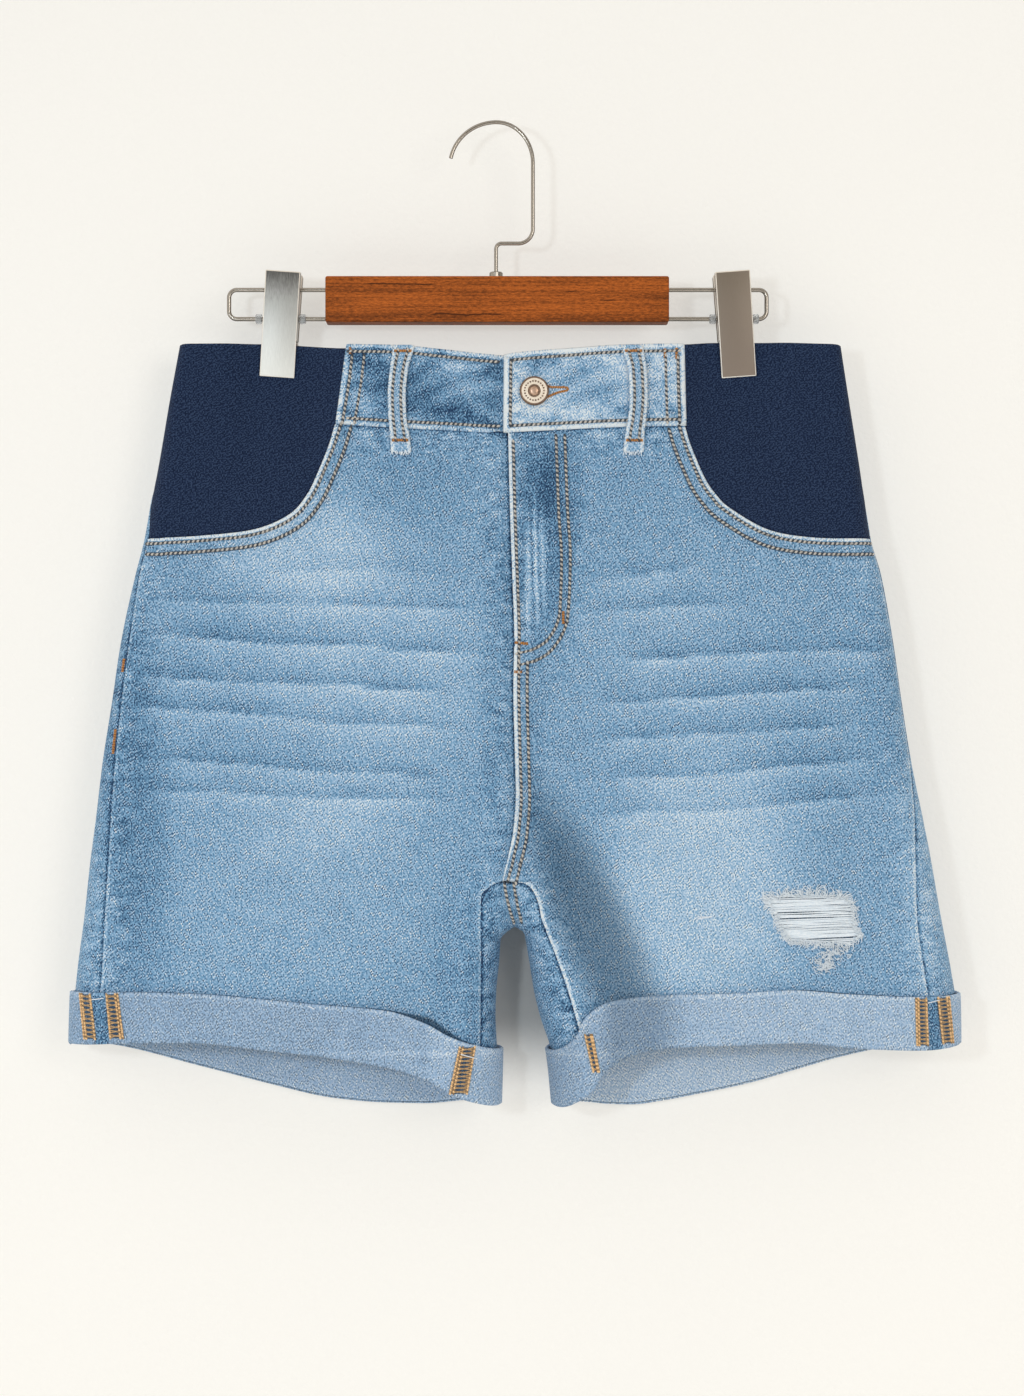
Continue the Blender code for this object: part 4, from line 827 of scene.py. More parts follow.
def front_panel(part, outside, inside):
    """Front of one leg and hip, with the torn place of the left one left open."""
    line = np.concatenate((inset_edge(part), band_foot_edge(part)[1:]))
    section = Section(part, line[:, 1])
    start = seam_run(part, line[:, 1])
    share = (section.run_at(line[:, 0]) - start) / (inner_end(part, line[:, 1]) - start)
    share[0], share[-1] = 0.0, 1.0
    share = np.maximum.accumulate(share)
    even = spaced(pairs(share * FRONT_COLUMNS_WIDTH, line[:, 1]), 132)
    share, top = even[:, 0] / FRONT_COLUMNS_WIDTH, even[:, 1] - SEAM_GAP
    share[0], share[-1] = 0.0, 1.0
    level = np.full(share.shape, HEM_LEVEL)
    hem = hem_height(part, front_run(part, share, level), "front")
    z = heights(top, hem)
    run = front_run(part, share[:, None], z)
    points, normals = surface(part, run, z)
    u = front_flat(part, run, z)
    edges, seams = front_edges(part)
    found = marks(u, z, -1, points[..., 0], z, edges, seams)
    found["gap_shadow_height"] = cuff_gap_shadow_height(part, -1, points[..., 0], z)
    allowance = 0.45 * ease(found["rim"], 9.5, 8.2) * (found["wear"] > 0.6)
    if part == "right":
        near = ease(points[..., 0], inner_line(part, z) - 6.0, inner_line(part, z) - 0.4)
        allowance = allowance - front_tuck(z) * near
    wall = Cloth(DENIM_WALL)
    grid = wall.add(points + normals * allowance[..., None], normals, u, z, found)
    keep = None
    if part == "left":
        middle = (points[:-1, :-1] + points[1:, 1:]) / 2
        keep = ~inside_path(RIP, middle[..., 0], middle[..., 2])
    wall.patch(grid, keep)
    if part == "right":
        z = z[-1, z[-1] > CROTCH_POINT + 4.0]
        reach = mix(0.5, FRONT_LAP, ease(z, CROTCH_POINT + 4.0, CROTCH_POINT + 30.0))
        share = np.linspace(0.0, 1.0, 5)[1:, None]
        lap = Section("left", z)
        run = -lap.run_at(lap.inner + reach * share)
        count, z = len(z), z + 0 * run
        points, normals = surface("left", run, z)
        points = points - normals * front_tuck(z)[..., None]
        u = points[..., 0]
        strip = wall.add(points, normals, u, z, marks(u, z, -1, u, z))
        wall.patch(np.concatenate((grid[-1:, :count], strip)))
    return wall.build("denim_front_" + part, outside, inside)


def back_panel(part, outside, inside):
    """Back of one leg and seat; it wraps to the front at the side seam and at the inseam."""
    side_columns, flat_columns, arc_columns, strip_columns = 14, 84, 13, 14

    def run_at(step, z):
        section = Section(part, z)
        first = np.clip(step / side_columns, 0.0, 1.0)
        second = np.clip((step - side_columns) / flat_columns, 0.0, 1.0)
        third = np.clip((step - side_columns - flat_columns) / arc_columns, 0.0, 1.0)
        start = SEAM_GAP / 2 - seam_run(part, z)
        return mix(start, section.arc, first) + section.flat * second + section.arc * third

    step = np.arange(side_columns + flat_columns + arc_columns + 1, dtype=float)
    at_hem = run_at(step, np.full(step.shape, HEM_LEVEL))
    hem = np.where(at_hem < 0, hem_height(part, at_hem, "front"), hem_height(part, at_hem, "back"))
    top = np.full(step.shape, INSET_FOOT - SEAM_GAP)
    z = heights(top, hem, above=BACK_BAND_FOOT - SEAM_GAP)
    run = run_at(step[:, None], z)
    points, normals = surface(part, run, z)
    u = Section(part, z).flat_x(run)
    rise_z = np.linspace(BACK_BAND_FOOT, CROTCH_FOOT, 70)
    section = Section(part, rise_z)
    rise = pairs(section.flat_x(section.length), rise_z)
    edges = [(side_edge(part), 0.1), (rise, 0.3)]
    seams = [(side_edge(part), 0.6), (rise, 0.9)]
    side = np.where(run < 0, -1.0, 1.0)
    # Painted light: the back leg below the front's hem is made paler where the cuff and the front
    # shade it.
    hem_painted_light = (0.12 if part == "right" else 0.32) * ease(z, -522.0, -534.0) * (side > 0)
    found = marks(u, z, side, points[..., 0], z, edges, seams, hem_painted_light)
    found["gap_shadow_height"] = cuff_gap_shadow_height(part, side, points[..., 0], z)
    wall = Cloth(DENIM_WALL)
    grid = wall.add(points, normals, u, z, found)
    wall.patch(grid)

    crotch, foot = (int(np.argmin(np.abs(z[-1] - level))) for level in (CROTCH_POINT, CROTCH_FOOT))
    share = (np.arange(strip_columns + 1) / strip_columns)[:, None]
    rows = z[-1, crotch:]
    level = np.full(share.shape, HEM_LEVEL)
    at_hem = -mix(inner_end(part, level), Section(part, level).length, share)
    hem = hem_height(part, at_hem, "front")
    low = (rows - CROTCH_FOOT) / (rows[-1] - CROTCH_FOOT)
    z = np.where(rows < CROTCH_FOOT, mix(CROTCH_FOOT, hem, low), rows + 0 * share)
    z[-1] = rows
    run = -mix(inner_end(part, z) + SEAM_GAP / 2, Section(part, z).length, share)
    points, normals = surface(part, run, z)
    u = front_flat(part, run, z)
    rise_z = np.linspace(CROTCH_POINT, CROTCH_FOOT, 20)
    rise = pairs(front_flat(part, -Section(part, rise_z).length, rise_z), rise_z)
    edges = [(inseam_edge(part), 0.15), (rise, 0.9 if part == "left" else 0.3)]
    found = marks(u, z, -1, points[..., 0], z, edges, [(inseam_edge(part), 0.9)], -0.12)
    found["gap_shadow_height"] = cuff_gap_shadow_height(part, -1, points[..., 0], z)
    strip = wall.add(points, normals, u, z, found)
    strip[-1, foot - crotch:] = grid[-1, foot:]
    wall.patch(strip)
    return wall.build("denim_back_" + part, outside, inside)


def knit_panel(part, outside, inside):
    """Knit inset between the side fold, the waistband's end and the front's curved edge."""
    line = spaced(inset_edge(part), 84)

    def outer_run(z):
        return seam_run(part, z) + SEAM_GAP / 2

    def inner_run(z):
        section = Section(part, z, KNIT_LIFT)
        end = BAND_ENDS.left(z) if part == "left" else BAND_ENDS.right(z)
        return section.run_at(end - section.turn * SEAM_GAP)

    section = Section(part, line[:, 1], KNIT_LIFT)
    start = outer_run(line[:, 1])
    run = section.run_at(line[:, 0] - section.turn * SEAM_GAP / 2)
    share = np.clip((run - start) / (inner_run(line[:, 1]) - start), 0.0, 1.0)
    share[0] = 0.0
    share = np.maximum.accumulate(share)[:, None]
    waist = np.full(share.shape, WAIST_TOP)
    top = KNIT_TOP.height(Section(part, waist).x_at(mix(outer_run(waist), inner_run(waist), share)))
    foot = line[:, 1:2] + SEAM_GAP / 2
    z = mix(top, foot, np.linspace(0.0, 1.0, 64)[None, :])
    run = -mix(outer_run(z), inner_run(z), share)
    points, normals = surface(part, run, z, KNIT_LIFT)
    u = Section(part, z, KNIT_LIFT).flat_x(run)
    top_edge = [(pairs(u[:, 0], z[:, 0]), 0.3)]
    found = marks(u, z, 0, points[..., 0], z, top_edge, [(inset_edge(part), 1.0)])
    wall = Cloth(KNIT_WALL)
    wall.patch(wall.add(points, normals, u, z, found))
    return wall.build("knit_side_" + part, outside, inside)


def front_band(name, x_top, x_foot, tuck, edges, outside, inside):
    """One front length of the waistband, from the columns' places at its top and its foot."""
    share = np.linspace(0.0, 1.0, 36)[None, :]
    x_top, x_foot, tuck = (np.asarray(a, float)[:, None] for a in (x_top, x_foot, tuck))
    z = mix(BAND.top(x_top), BAND.foot(x_foot), share)
    x = mix(x_top, x_foot, share)
    run = -Section("body", z, BAND_LIFT).run_at(x)
    points, normals = surface("body", run, z, BAND_LIFT)
    waves = np.sin(x / 8.3 + 1.9 * np.sin(z / 7.0)) * np.sin(z / 4.1 + 1.3 * np.sin(x / 13.0))
    patches = 0.24 * waves + 0.12 * np.sin(x / 17.0 + z / 9.0) + np.where(x < 4.0, -0.21, 0.29)
    found = marks(x, z, 0, x, z, edges, edges, patches)
    puff = 0.35 * ease(found["rim"], 3.4, 6.5) - tuck
    wall = Cloth(BAND_WALL)
    wall.patch(wall.add(points + normals * puff[..., None], normals, x, z, found))
    return wall.build(name, outside, inside)


def front_bands(outside, inside):
    """Right length of the waistband, which runs on under the left one, and the left length."""
    x = np.linspace(-94.0, 110.0, 90)
    z = np.linspace(-129.0, -181.0, 20)
    long_edges = [(pairs(x, BAND.top(x)), 0.7), (pairs(x, BAND.foot(x)), 0.7)]
    right_end, left_end = (pairs(end(z), z) for end in (BAND_ENDS.right, BAND_ENDS.left))
    lap = pairs(np.linspace(5.1, 4.7, 20), np.linspace(-135.8, -180.4, 20))
    share = np.linspace(0.0, 1.0, 72)
    x_top, x_foot = (np.concatenate((mix(BAND_ENDS.right(level), -3.4, share),
                                     np.linspace(-1.2, 30.0, 22))) for level in (-130.0, -175.0))
    right = front_band("denim_waistband_right", x_top, x_foot, BAND_TUCK * ease(x_top, -4.2, 3.0),
                       long_edges + [(right_end, 0.7)], outside, inside)
    share = np.linspace(0.0, 1.0, 84)
    left = front_band("denim_waistband_left", mix(5.1, BAND_ENDS.left(-130.0), share),
                      mix(4.7, BAND_ENDS.left(-176.0), share), 0.0 * share,
                      long_edges + [(left_end, 0.7), (lap, 1.2)], outside, inside)
    return right, left


def back_band_top(x):
    """Top of the back waistband beside a sideways place."""
    between = (x > BAND_ENDS_X[0]) & (x < BAND_ENDS_X[1])
    return np.where(between, BAND.top(x), KNIT_TOP.height(x)) - BACK_BAND_DROP


def back_band(outside, inside):
    """Back waistband from side fold to side fold."""
    share = np.linspace(0.0, 1.0, 200)[:, None]
    section = Section("body", np.full(share.shape, WAIST_TOP), BAND_LIFT)
    top = back_band_top(section.x_at(mix(section.arc, section.arc + section.flat, share)))
    z = mix(top, BACK_BAND_FOOT, np.linspace(0.0, 1.0, 26)[None, :])
    section = Section("body", z, BAND_LIFT)
    run = mix(BAND_START, section.length - BAND_START, share)
    points, normals = surface("body", run, z, BAND_LIFT)
    u = section.flat_x(run)
    edges = [(pairs(u[:, end], z[:, end])[::4], wear) for end, wear in ((0, 1.0), (-1, 0.8))]
    found = marks(u, z, 0, points[..., 0], z, edges, edges, -0.08)
    wall = Cloth(BAND_WALL)
    wall.patch(wall.add(points, normals, u, z, found))
    return wall.build("denim_waistband_back", outside, inside)


def loop_frame(part, share_down, share_across):
    """Points and normals of a belt loop: share 0 at its top and its right edge."""
    z = mix(-130.6, -191.8, share_down)
    lift = LOOPS.lift(z)
    middle = LOOPS.right(z) if part == "right" else LOOPS.left(z)
    x = middle + mix(-1.0, 1.0, share_across) * LOOPS.half_width(z)
    return *surface("body", -Section("body", z, lift).run_at(x), z, lift), x, z


def belt_loop(part, outside, inside):
    """Strip that stands off the waistband and is tacked above and below it."""
    down, across = np.linspace(0.0, 1.0, 48)[None, :], np.linspace(0.0, 1.0, 11)[:, None]
    points, normals, x, z = loop_frame(part, down + 0 * across, across + 0 * down)
    u = mix(-5.0, 5.0, across) + 0 * down
    sides = [pairs(side, np.linspace(-130.0, -192.0, 20)) for side in (-5.0, 5.0)]
    found = marks(u, z, 0, x, z, [(s, 0.62) for s in sides], [(s, 0.15) for s in sides], 0.14)
    wall = Cloth(LOOP_WALL)
    hump = 0.35 * np.sin(across * math.pi) ** 2
    wall.patch(wall.add(points + normals * hump[..., None], normals, u, z, found))
    return wall.build("denim_belt_loop_" + part, outside, inside)


def cuff_height_at(side, x):
    """Foot and top of a cuff beside a sideways place."""
    front = side < 0
    foot = np.where(front, HEM.front(x), HEM.back(x)) - CUFF_DROP
    return foot, np.where(front, HEM.cuff_front(x), HEM.cuff_back(x))


def cuff_lift(side, x, height):
    """Lift of a cuff over the leg, with the slack at its top, widest beside the inseam."""
    spot = np.exp(-(((x + 46.0) / 30.0) ** 2)) + 0.7 * np.exp(-(((x - 60.0) / 22.0) ** 2))
    return CUFF_LIFT + height * (0.7 + 2.4 * spot * np.where(side < 0, 1.0, 0.4))


def cuff_point(part, x, z, above):
    """Points over the front of a cuff at places of the front view."""
    foot, top = cuff_height_at(-1.0, x)
    lift = cuff_lift(-1.0, x, np.clip((z - foot) / (top - foot), 0.0, 1.0))
    points, normals = surface(part, -Section(part, z, lift).run_at(x), z, lift)
    return points + normals * (CUFF_WALL / 2 + above)


# Middle of the strip of leg that shows between two seam ends, at the cuff's top and its foot.
CUFF_STRIPS = {"right": (-228.1, -225.6), "left": (249.5, 251.3)}


def cuff(part, outside):
    """Rolled band round the end of one leg, wrong side out."""
    strip_top, strip_foot = CUFF_STRIPS[part]
    arc, flat = np.linspace(0.0, 1.0, 15)[:-1], np.linspace(1.0, 2.0, 112)[:-1]
    place = np.concatenate((arc, flat, 2.0 + np.linspace(0.0, 1.0, 15)))
    place = np.concatenate((place, -place[-2:0:-1]))
    side = np.where(place < 0, -1.0, 1.0)[:, None]
    phase = np.abs(place)[:, None]

    def run_at(z, lift=0.0):
        section = Section(part, z, lift)
        run = section.arc * np.clip(phase, 0, 1) + section.flat * np.clip(phase - 1, 0, 1)
        return side * (run + section.arc * np.clip(phase - 2, 0, 1))

    level = np.full(phase.shape, CUFF_LEVEL)
    x = Section(part, level).x_at(run_at(level))
    foot, top = cuff_height_at(side, x)
    height = np.linspace(1.0, 0.0, 16)[None, :]
    z = mix(foot, top, height)
    lift = cuff_lift(side, Section(part, z).x_at(run_at(z)), height)
    run = run_at(z, lift)
    points, normals = surface(part, run, z, lift)
    ripple = 0.35 * np.sin(x / 9.0 + 1.7) * height + 0.3 * np.sin(x / 15.0 - 0.6) * (1 - height)
    u = Section(part, z, lift).flat_x(run)
    top_line, foot_line = (pairs(u[:, end], z[:, end]) for end in (0, -1))
    place = points[..., 0]
    extra = 0.10 * ease(place, 100.0, 130.0)
    # On the right cuff, the steps paler beyond its creases near x -74 and x -40 are painted light
    # where its surface turns.
    if part == "right":
        turned = mix(-40.0, -37.0, 1 - height)
        extra = -0.12 + 0.05 * ease(place, -75.0, -73.0)
        extra += 0.13 * ease(place, turned - 1, turned + 1)
    strip = np.abs(place - mix(strip_top, strip_foot, 1 - height)) < 5.0
    extra = np.where(strip & (side < 0), -0.3, extra)
    edges = [(top_line, 0.22), (foot_line, 0.1)]
    found = marks(u, z, 0, place, z, edges, [(foot_line, 0.12)], extra)
    found["shade"] = (0.46 * ease(place, 112.0, 88.0) * ease(place, 54.0, 70.0)
                      + 0.25 * ease(place, 58.0, 40.0) * ease(place, 0.0, 30.0)) * (side < 0)
    wall = Cloth(CUFF_WALL)
    grid = wall.add(points + normals * ripple[..., None], normals, u, z, found)
    wall.patch(np.concatenate((grid, grid[:1])))
    made = wall.build("cuff_cloth_" + part, outside)
    made.data.materials.append(denim())
    for face in made.data.polygons:
        x, y, z = face.center / MM
        if y < 0 and abs(x - mix(strip_top, strip_foot, (-506.0 - z) / 26.0)) < 4.2:
            face.material_index = 1
    return made


# --- Geometry Nodes ----------------------------------------------------------------------------
class Nodes:
    """A node tree that is made node by node."""

    def __init__(self, tree):
        self.nodes, self.links = tree.nodes, tree.links

    def add(self, kind, values=None, **settings):
        """A node with its settings, its inputs set to values or linked to sockets."""
        node = self.nodes.new(kind)
        for name, value in settings.items():
            setattr(node, name, value)
        for name, value in (values or {}).items():
            if isinstance(value, bpy.types.NodeSocket):
                self.links.new(value, node.inputs[name])
            else:
                node.inputs[name].default_value = value
        return node

    def math(self, operation, a, b=0.0, clamp=False):
        """Arithmetic on two values."""
        node = self.add("ShaderNodeMath", {0: a, 1: b}, operation=operation, use_clamp=clamp)
        return node.outputs[0]

    def times(self, first, *others):
        """Product of several values."""
        for value in others:
            first = self.math("MULTIPLY", first, value)
        return first

    def total(self, *values):
        """Sum of several values; a pair stands for its product."""
        first, *others = [self.times(*v) if isinstance(v, tuple) else v for v in values]
        for value in others:
            first = self.math("ADD", first, value)
        return first


class Tree(Nodes):
    """A geometry tree with named inputs."""

    def __init__(self, name, *inputs):
        self.tree = bpy.data.node_groups.new(name, "GeometryNodeTree")
        super().__init__(self.tree)
        face = self.tree.interface
        face.new_socket("Geometry", in_out="INPUT", socket_type="NodeSocketGeometry")
        for label, kind in inputs:
            face.new_socket(label, in_out="INPUT", socket_type="NodeSocket" + kind)
        face.new_socket("Geometry", in_out="OUTPUT", socket_type="NodeSocketGeometry")
        self.start, self.end = (self.add("NodeGroup" + end) for end in ("Input", "Output"))

    def finish(self, geometry, material):
        """Close the tree with real geometry and its finish."""
        real = self.add("GeometryNodeRealizeInstances", {"Geometry": geometry}).outputs[0]
        smooth_faces = self.add("GeometryNodeSetShadeSmooth", {"Geometry": real}).outputs[0]
        done = self.add("GeometryNodeSetMaterial", {"Geometry": smooth_faces, "Material": material})
        self.links.new(done.outputs[0], self.end.inputs[0])
        return self.tree


def stitch_tree():
    """Lock stitch rows: leaning beads along every path, each with its own tone, every other one
    painted lit.
    """
    made = Tree("Stitch rows", ("Pitch", "Float"), ("Length", "Float"), ("Thickness", "Float"),
                ("Lean", "Float"), ("Across", "Float"), ("Seed", "Int"), ("Finish", "Material"))
    sizes = made.start.outputs
    paths = made.add("GeometryNodeMeshToCurve", {"Mesh": sizes["Geometry"]}).outputs[0]
    resampled = made.add("GeometryNodeResampleCurve",
                         {"Curve": paths, "Length": sizes["Pitch"]}, mode="LENGTH")
    tangent = made.add("GeometryNodeInputTangent").outputs[0]
    facing = made.add("FunctionNodeAlignRotationToVector", {"Vector": tangent}, axis="X")
    level = made.add("FunctionNodeAlignRotationToVector",
                     {"Rotation": facing.outputs[0], "Vector": (0.0, -1.0, 0.0)},
                     axis="Z", pivot_axis="X")
    spread = made.add("FunctionNodeRandomValue", {"Min": -0.18, "Max": 0.18,
                                                  "Seed": sizes["Seed"]}, data_type="FLOAT")
    leaning = made.total(sizes["Lean"], sizes["Across"], spread.outputs[1])
    angles = made.add("ShaderNodeCombineXYZ", {"Z": leaning}).outputs[0]
    euler = made.add("FunctionNodeEulerToRotation", {"Euler": angles}).outputs[0]
    turned = made.add("FunctionNodeRotateRotation",
                      {"Rotation": level.outputs[0], "Rotate By": euler}, rotation_space="LOCAL")
    bead = made.add("GeometryNodeMeshUVSphere", {"Segments": 6, "Rings": 4, "Radius": 0.5})
    size = made.add("ShaderNodeCombineXYZ", {"X": sizes["Length"], "Y": sizes["Thickness"],
                                             "Z": sizes["Thickness"]}).outputs[0]
    beads = made.add("GeometryNodeInstanceOnPoints", {
        "Points": resampled.outputs[0], "Instance": bead.outputs[0],
        "Rotation": turned.outputs[0], "Scale": size})
    index = made.add("GeometryNodeInputIndex").outputs[0]
    # Every second bead takes the lit tone: painted light and shade on the twisted thread.
    parity = made.math("MODULO", index, 2.0)
    odd = made.add("FunctionNodeRandomValue", {"Min": -0.3, "Max": 0.3, "Seed": 11},
                   data_type="FLOAT").outputs[1]
    named = made.add("GeometryNodeStoreNamedAttribute", {
        "Geometry": beads.outputs[0], "Name": "tone", "Value": made.total(parity, odd)},
        data_type="FLOAT", domain="INSTANCE")
    return made.finish(named.outputs[0], sizes["Finish"])


def thread_tree():
    """Round threads along every path."""
    made = Tree("Threads", ("Thickness", "Float"), ("Sides", "Int"), ("Finish", "Material"))
    sizes = made.start.outputs
    paths = made.add("GeometryNodeMeshToCurve", {"Mesh": sizes["Geometry"]}).outputs[0]
    radius = made.times(sizes["Thickness"], 0.5)
    ring = made.add("GeometryNodeCurvePrimitiveCircle", {"Resolution": sizes["Sides"],
                                                         "Radius": radius})
    swept = made.add("GeometryNodeCurveToMesh", {
        "Curve": paths, "Profile Curve": ring.outputs[0], "Fill Caps": True})
    return made.finish(swept.outputs[0], sizes["Finish"])


def plain_mesh(name, guide):
    """The mesh that a guide draws, in the guide's place."""
    bpy.context.view_layer.update()
    ready = guide.evaluated_get(bpy.context.evaluated_depsgraph_get())
    mesh = bpy.data.meshes.new_from_object(ready)
    bpy.data.objects.remove(guide)
    mesh.name = name
    return placed(name, mesh)


def along_paths(name, paths, tree, values):
    """Plain mesh of a tree run over paths of points in millimetres."""
    mesh = bpy.data.meshes.new(name + "_paths")
    points, edges = [], []
    for path in paths:
        first = len(points)
        points.extend((np.asarray(path, float) * MM).tolist())
        edges.extend((k, k + 1) for k in range(first, len(points) - 1))
    mesh.from_pydata(points, edges, [])
    guide = placed(name + "_paths", mesh)
    nodes = guide.modifiers.new("rows", "NODES")
    nodes.node_group = tree
    for item in tree.interface.items_tree:
        if item.in_out == "INPUT" and item.name in values:
            nodes[item.identifier] = values[item.name]
    return plain_mesh(name, guide)


# --- Finishes ----------------------------------------------------------------------------------
class Finish(Nodes):
    """A material round one Principled shader, in the object's space or the cloth's."""

    def __init__(self, name, roughness, metallic=0.0, space="Object", **settings):
        self.material = bpy.data.materials.new(name)
        self.material.use_nodes = True
        super().__init__(self.material.node_tree)
        self.space = space
        self.shader = self.nodes["Principled BSDF"]
        self.shader.inputs["Roughness"].default_value = roughness
        self.shader.inputs["Metallic"].default_value = metallic
        for key, value in settings.items():
            self.shader.inputs[key.replace("_", " ")].default_value = value

    def field(self, name):
        """A value kept on the cloth."""
        return self.add("ShaderNodeAttribute", attribute_name=name).outputs["Fac"]

    def fade(self, value, start, end):
        """1 at start, 0 at end, smooth between them."""
        node = self.add("ShaderNodeMapRange", {"Value": value, "From Min": start, "From Max": end,
                                               "To Min": 1.0, "To Max": 0.0},
                        interpolation_type="SMOOTHSTEP")
        return node.outputs["Result"]

    def place(self, *stretch):
        """Coordinates in millimetres, stretched by a scale for each axis."""
        coordinates = self.add("ShaderNodeTexCoord").outputs[self.space]
        size = tuple(1000.0 * scale for scale in stretch or (1.0, 1.0, 1.0))
        return self.add("ShaderNodeMapping", {"Vector": coordinates, "Scale": size}).outputs[0]

    def axes(self, *stretch):
        """The three coordinates apart."""
        return self.add("ShaderNodeSeparateXYZ", {"Vector": self.place(*stretch)}).outputs

    def noise(self, place, detail=2.0, rough=0.5, scale=1.0):
        """Noise from -0.5 to 0.5, over coordinates or over a stretch of the millimetres."""
        vector = self.place(*place) if isinstance(place, tuple) else place
        node = self.add("ShaderNodeTexNoise", {"Vector": vector, "Scale": scale, "Detail": detail,
                                               "Roughness": rough})
        return self.math("SUBTRACT", node.outputs["Fac"], 0.5)

    def waves(self, vector, scale, distortion, detail_scale, way):
        """Waves from -0.5 to 0.5 along one way."""
        node = self.add("ShaderNodeTexWave", {
            "Vector": vector, "Scale": scale, "Distortion": distortion, "Detail": 2.0,
            "Detail Scale": detail_scale}, wave_type="BANDS", bands_direction=way)
        return self.math("SUBTRACT", node.outputs["Fac"], 0.5)

    def grains(self, width, height, shift):
        """Value of each small cell of a weave against the next two; columns step down."""
        x, y, _ = self.axes(1.0 / width, 1.0 / height, 1.0)
        column = self.math("FLOOR", x)
        row = self.math("FLOOR", self.total(y, (column, shift)))
        cell = self.add("ShaderNodeCombineXYZ", {"X": column, "Y": row}).outputs[0]
        values = []
        for step in ((0.0, 0.0, 0.0), (1.0, 0.0, 0.0), (0.0, 1.0, 0.0)):
            moved = self.add("ShaderNodeVectorMath", {0: cell, 1: step}).outputs[0]
            values.append(self.add("ShaderNodeTexWhiteNoise", {"Vector": moved}).outputs["Value"])
        return self.math("SUBTRACT", values[0], self.times(self.total(*values[1:]), 0.5))

    def ramp(self, value, *stops):
        """Colour for a value, from pairs of place and colour."""
        node = self.add("ShaderNodeValToRGB", {"Fac": value})
        elements = node.color_ramp.elements
        elements[0].position, elements[1].position = stops[0][0], stops[-1][0]
        for position, _ in stops[1:-1]:
            elements.new(position)
        for element, (_, colour) in zip(elements, stops):
            element.color = (*colour, 1.0)
        return node.outputs["Color"]

    def dimmed(self, colour, share, left):
        """A colour with light taken away: only the part left of it at share 1."""
        node = self.add("ShaderNodeMix", data_type="RGBA", blend_type="MULTIPLY")
        for place, value in ((0, share), (6, colour)):
            self.links.new(value, node.inputs[place])
        node.inputs[7].default_value = (*left, 1.0)
        return node.outputs[2]

    def colour(self, socket):
        """Use a colour."""
        self.links.new(socket, self.shader.inputs["Base Color"])

    def bump(self, height, distance, strength):
        """Use a height as relief, in metres at full height."""
        node = self.add("ShaderNodeBump", {"Height": height, "Distance": distance,
                                           "Strength": strength})
        self.links.new(node.outputs[0], self.shader.inputs["Normal"])


def shade(colour, *factors):
    """A colour made lighter or darker, by one factor or by one for each channel."""
    return tuple(min(channel * factor, 1.0) for channel, factor in zip(colour, factors * 3))


def mix_colour(a, b, share):
    """Colour between two others."""
    return tuple(mix(p, q, share) for p, q in zip(a, b))


def denim_finish(name, cloth, pale=False):
    """Washed twill: warp slubs, weft flecks, worn edges, puckered seams, painted shadow by the
    seams.
    """
    made = Finish(name, roughness=0.9, space="UV", Sheen_Weight=0.05, Sheen_Roughness=0.5,
                  Specular_IOR_Level=0.2)
    weave = made.place()
    twill = made.waves(weave, 0.444 * MM / cloth.twill_pitch, 2.6, 1.1, "DIAGONAL")
    warp = made.noise((0.75, 0.11, 1.0), 2.0, 0.7)
    weft = made.noise((0.25, 1.3, 1.0), 2.0, 0.6)
    fleck = made.noise(weave, 2.0, 0.75, 1.5)
    grain = made.grains(0.68, 0.88, 0.41)
    cloud = made.noise(weave, 3.0, 0.6, 0.06)
    blot = made.noise((0.11, 0.2, 1.0), 4.0, 0.6)
    rim, wear, seam, along, pucker = map(made.field, ("rim", "wear", "seam", "along", "pucker"))
    across_seam = made.add("ShaderNodeCombineXYZ", {"X": made.times(along, 0.17),
                                                    "Y": made.times(seam, 0.07)}).outputs[0]
    stripes = made.times(pucker, made.fade(seam, 4.0, 15.0), made.noise(across_seam, 3.0, 0.6))
    mottle = made.times(blot, made.total(0.12, (pucker, made.fade(seam, 6.0, 26.0))))
    unworn = made.math("SUBTRACT", 1.0, made.times(wear, 1.4), clamp=True)
    # Painted shadow: a dark line beside each seam whose edge is not worn white.
    seam_shadow = made.times(pucker, made.fade(seam, 0.2, 2.4), unworn)
    line = made.times(wear, made.fade(rim, 0.8, 2.2))
    band = made.times(wear, made.fade(rim, 1.5, 7.0), made.total((blot, 2.0), 0.6))
    amount = 1.05 if pale else 1.0
    tone = made.total(
        0.5, made.field("wash"), (twill, 0.13), (warp, 0.50 * amount), (weft, 0.18 * amount),
        (fleck, 0.45 * amount), (grain, 0.86 * amount), (cloud, 0.22), (mottle, 1.9),
        (stripes, 1.2), (line, 0.86), (seam_shadow, -1.0), (band, 0.14))
    share = made.math("DIVIDE", made.total(tone, 0.3), 1.6)
    white = tuple(cloth.worn_white)
    if pale:
        blue = tuple(cloth.wrong_side)
        darkest, dark = shade(blue, 0.33), shade(blue, 0.50)
        light = mix_colour(blue, white, 0.45)
    else:
        blue = tuple(cloth.denim_blue)
        darkest, dark = shade(blue, 0.06, 0.09, 0.16), shade(blue, 0.22, 0.30, 0.37)
        light = shade(blue, 2.60, 1.70, 1.38)
    colours = ((0.0, darkest), (0.1875, dark), (0.5, blue), (0.8125, light), (1.0, white))
    # Painted shade: the shade field and the painted shadow of the gap over each cuff's top take
    # light away.
    gap = made.times(made.fade(made.field("gap_shadow_height"), 0.7, 1.3), 0.0 if pale else 0.9)
    gone = made.math("ADD", made.field("shade"), gap, clamp=True)
    made.colour(made.dimmed(made.ramp(share, *colours), gone, (0.19, 0.23, 0.26)))
    relief = made.total((twill, 0.12), (fleck, 0.4), (warp, 0.25), (stripes, 1.5), (mottle, 0.8))
    made.bump(relief, 0.0005, 0.7)
    return made.material


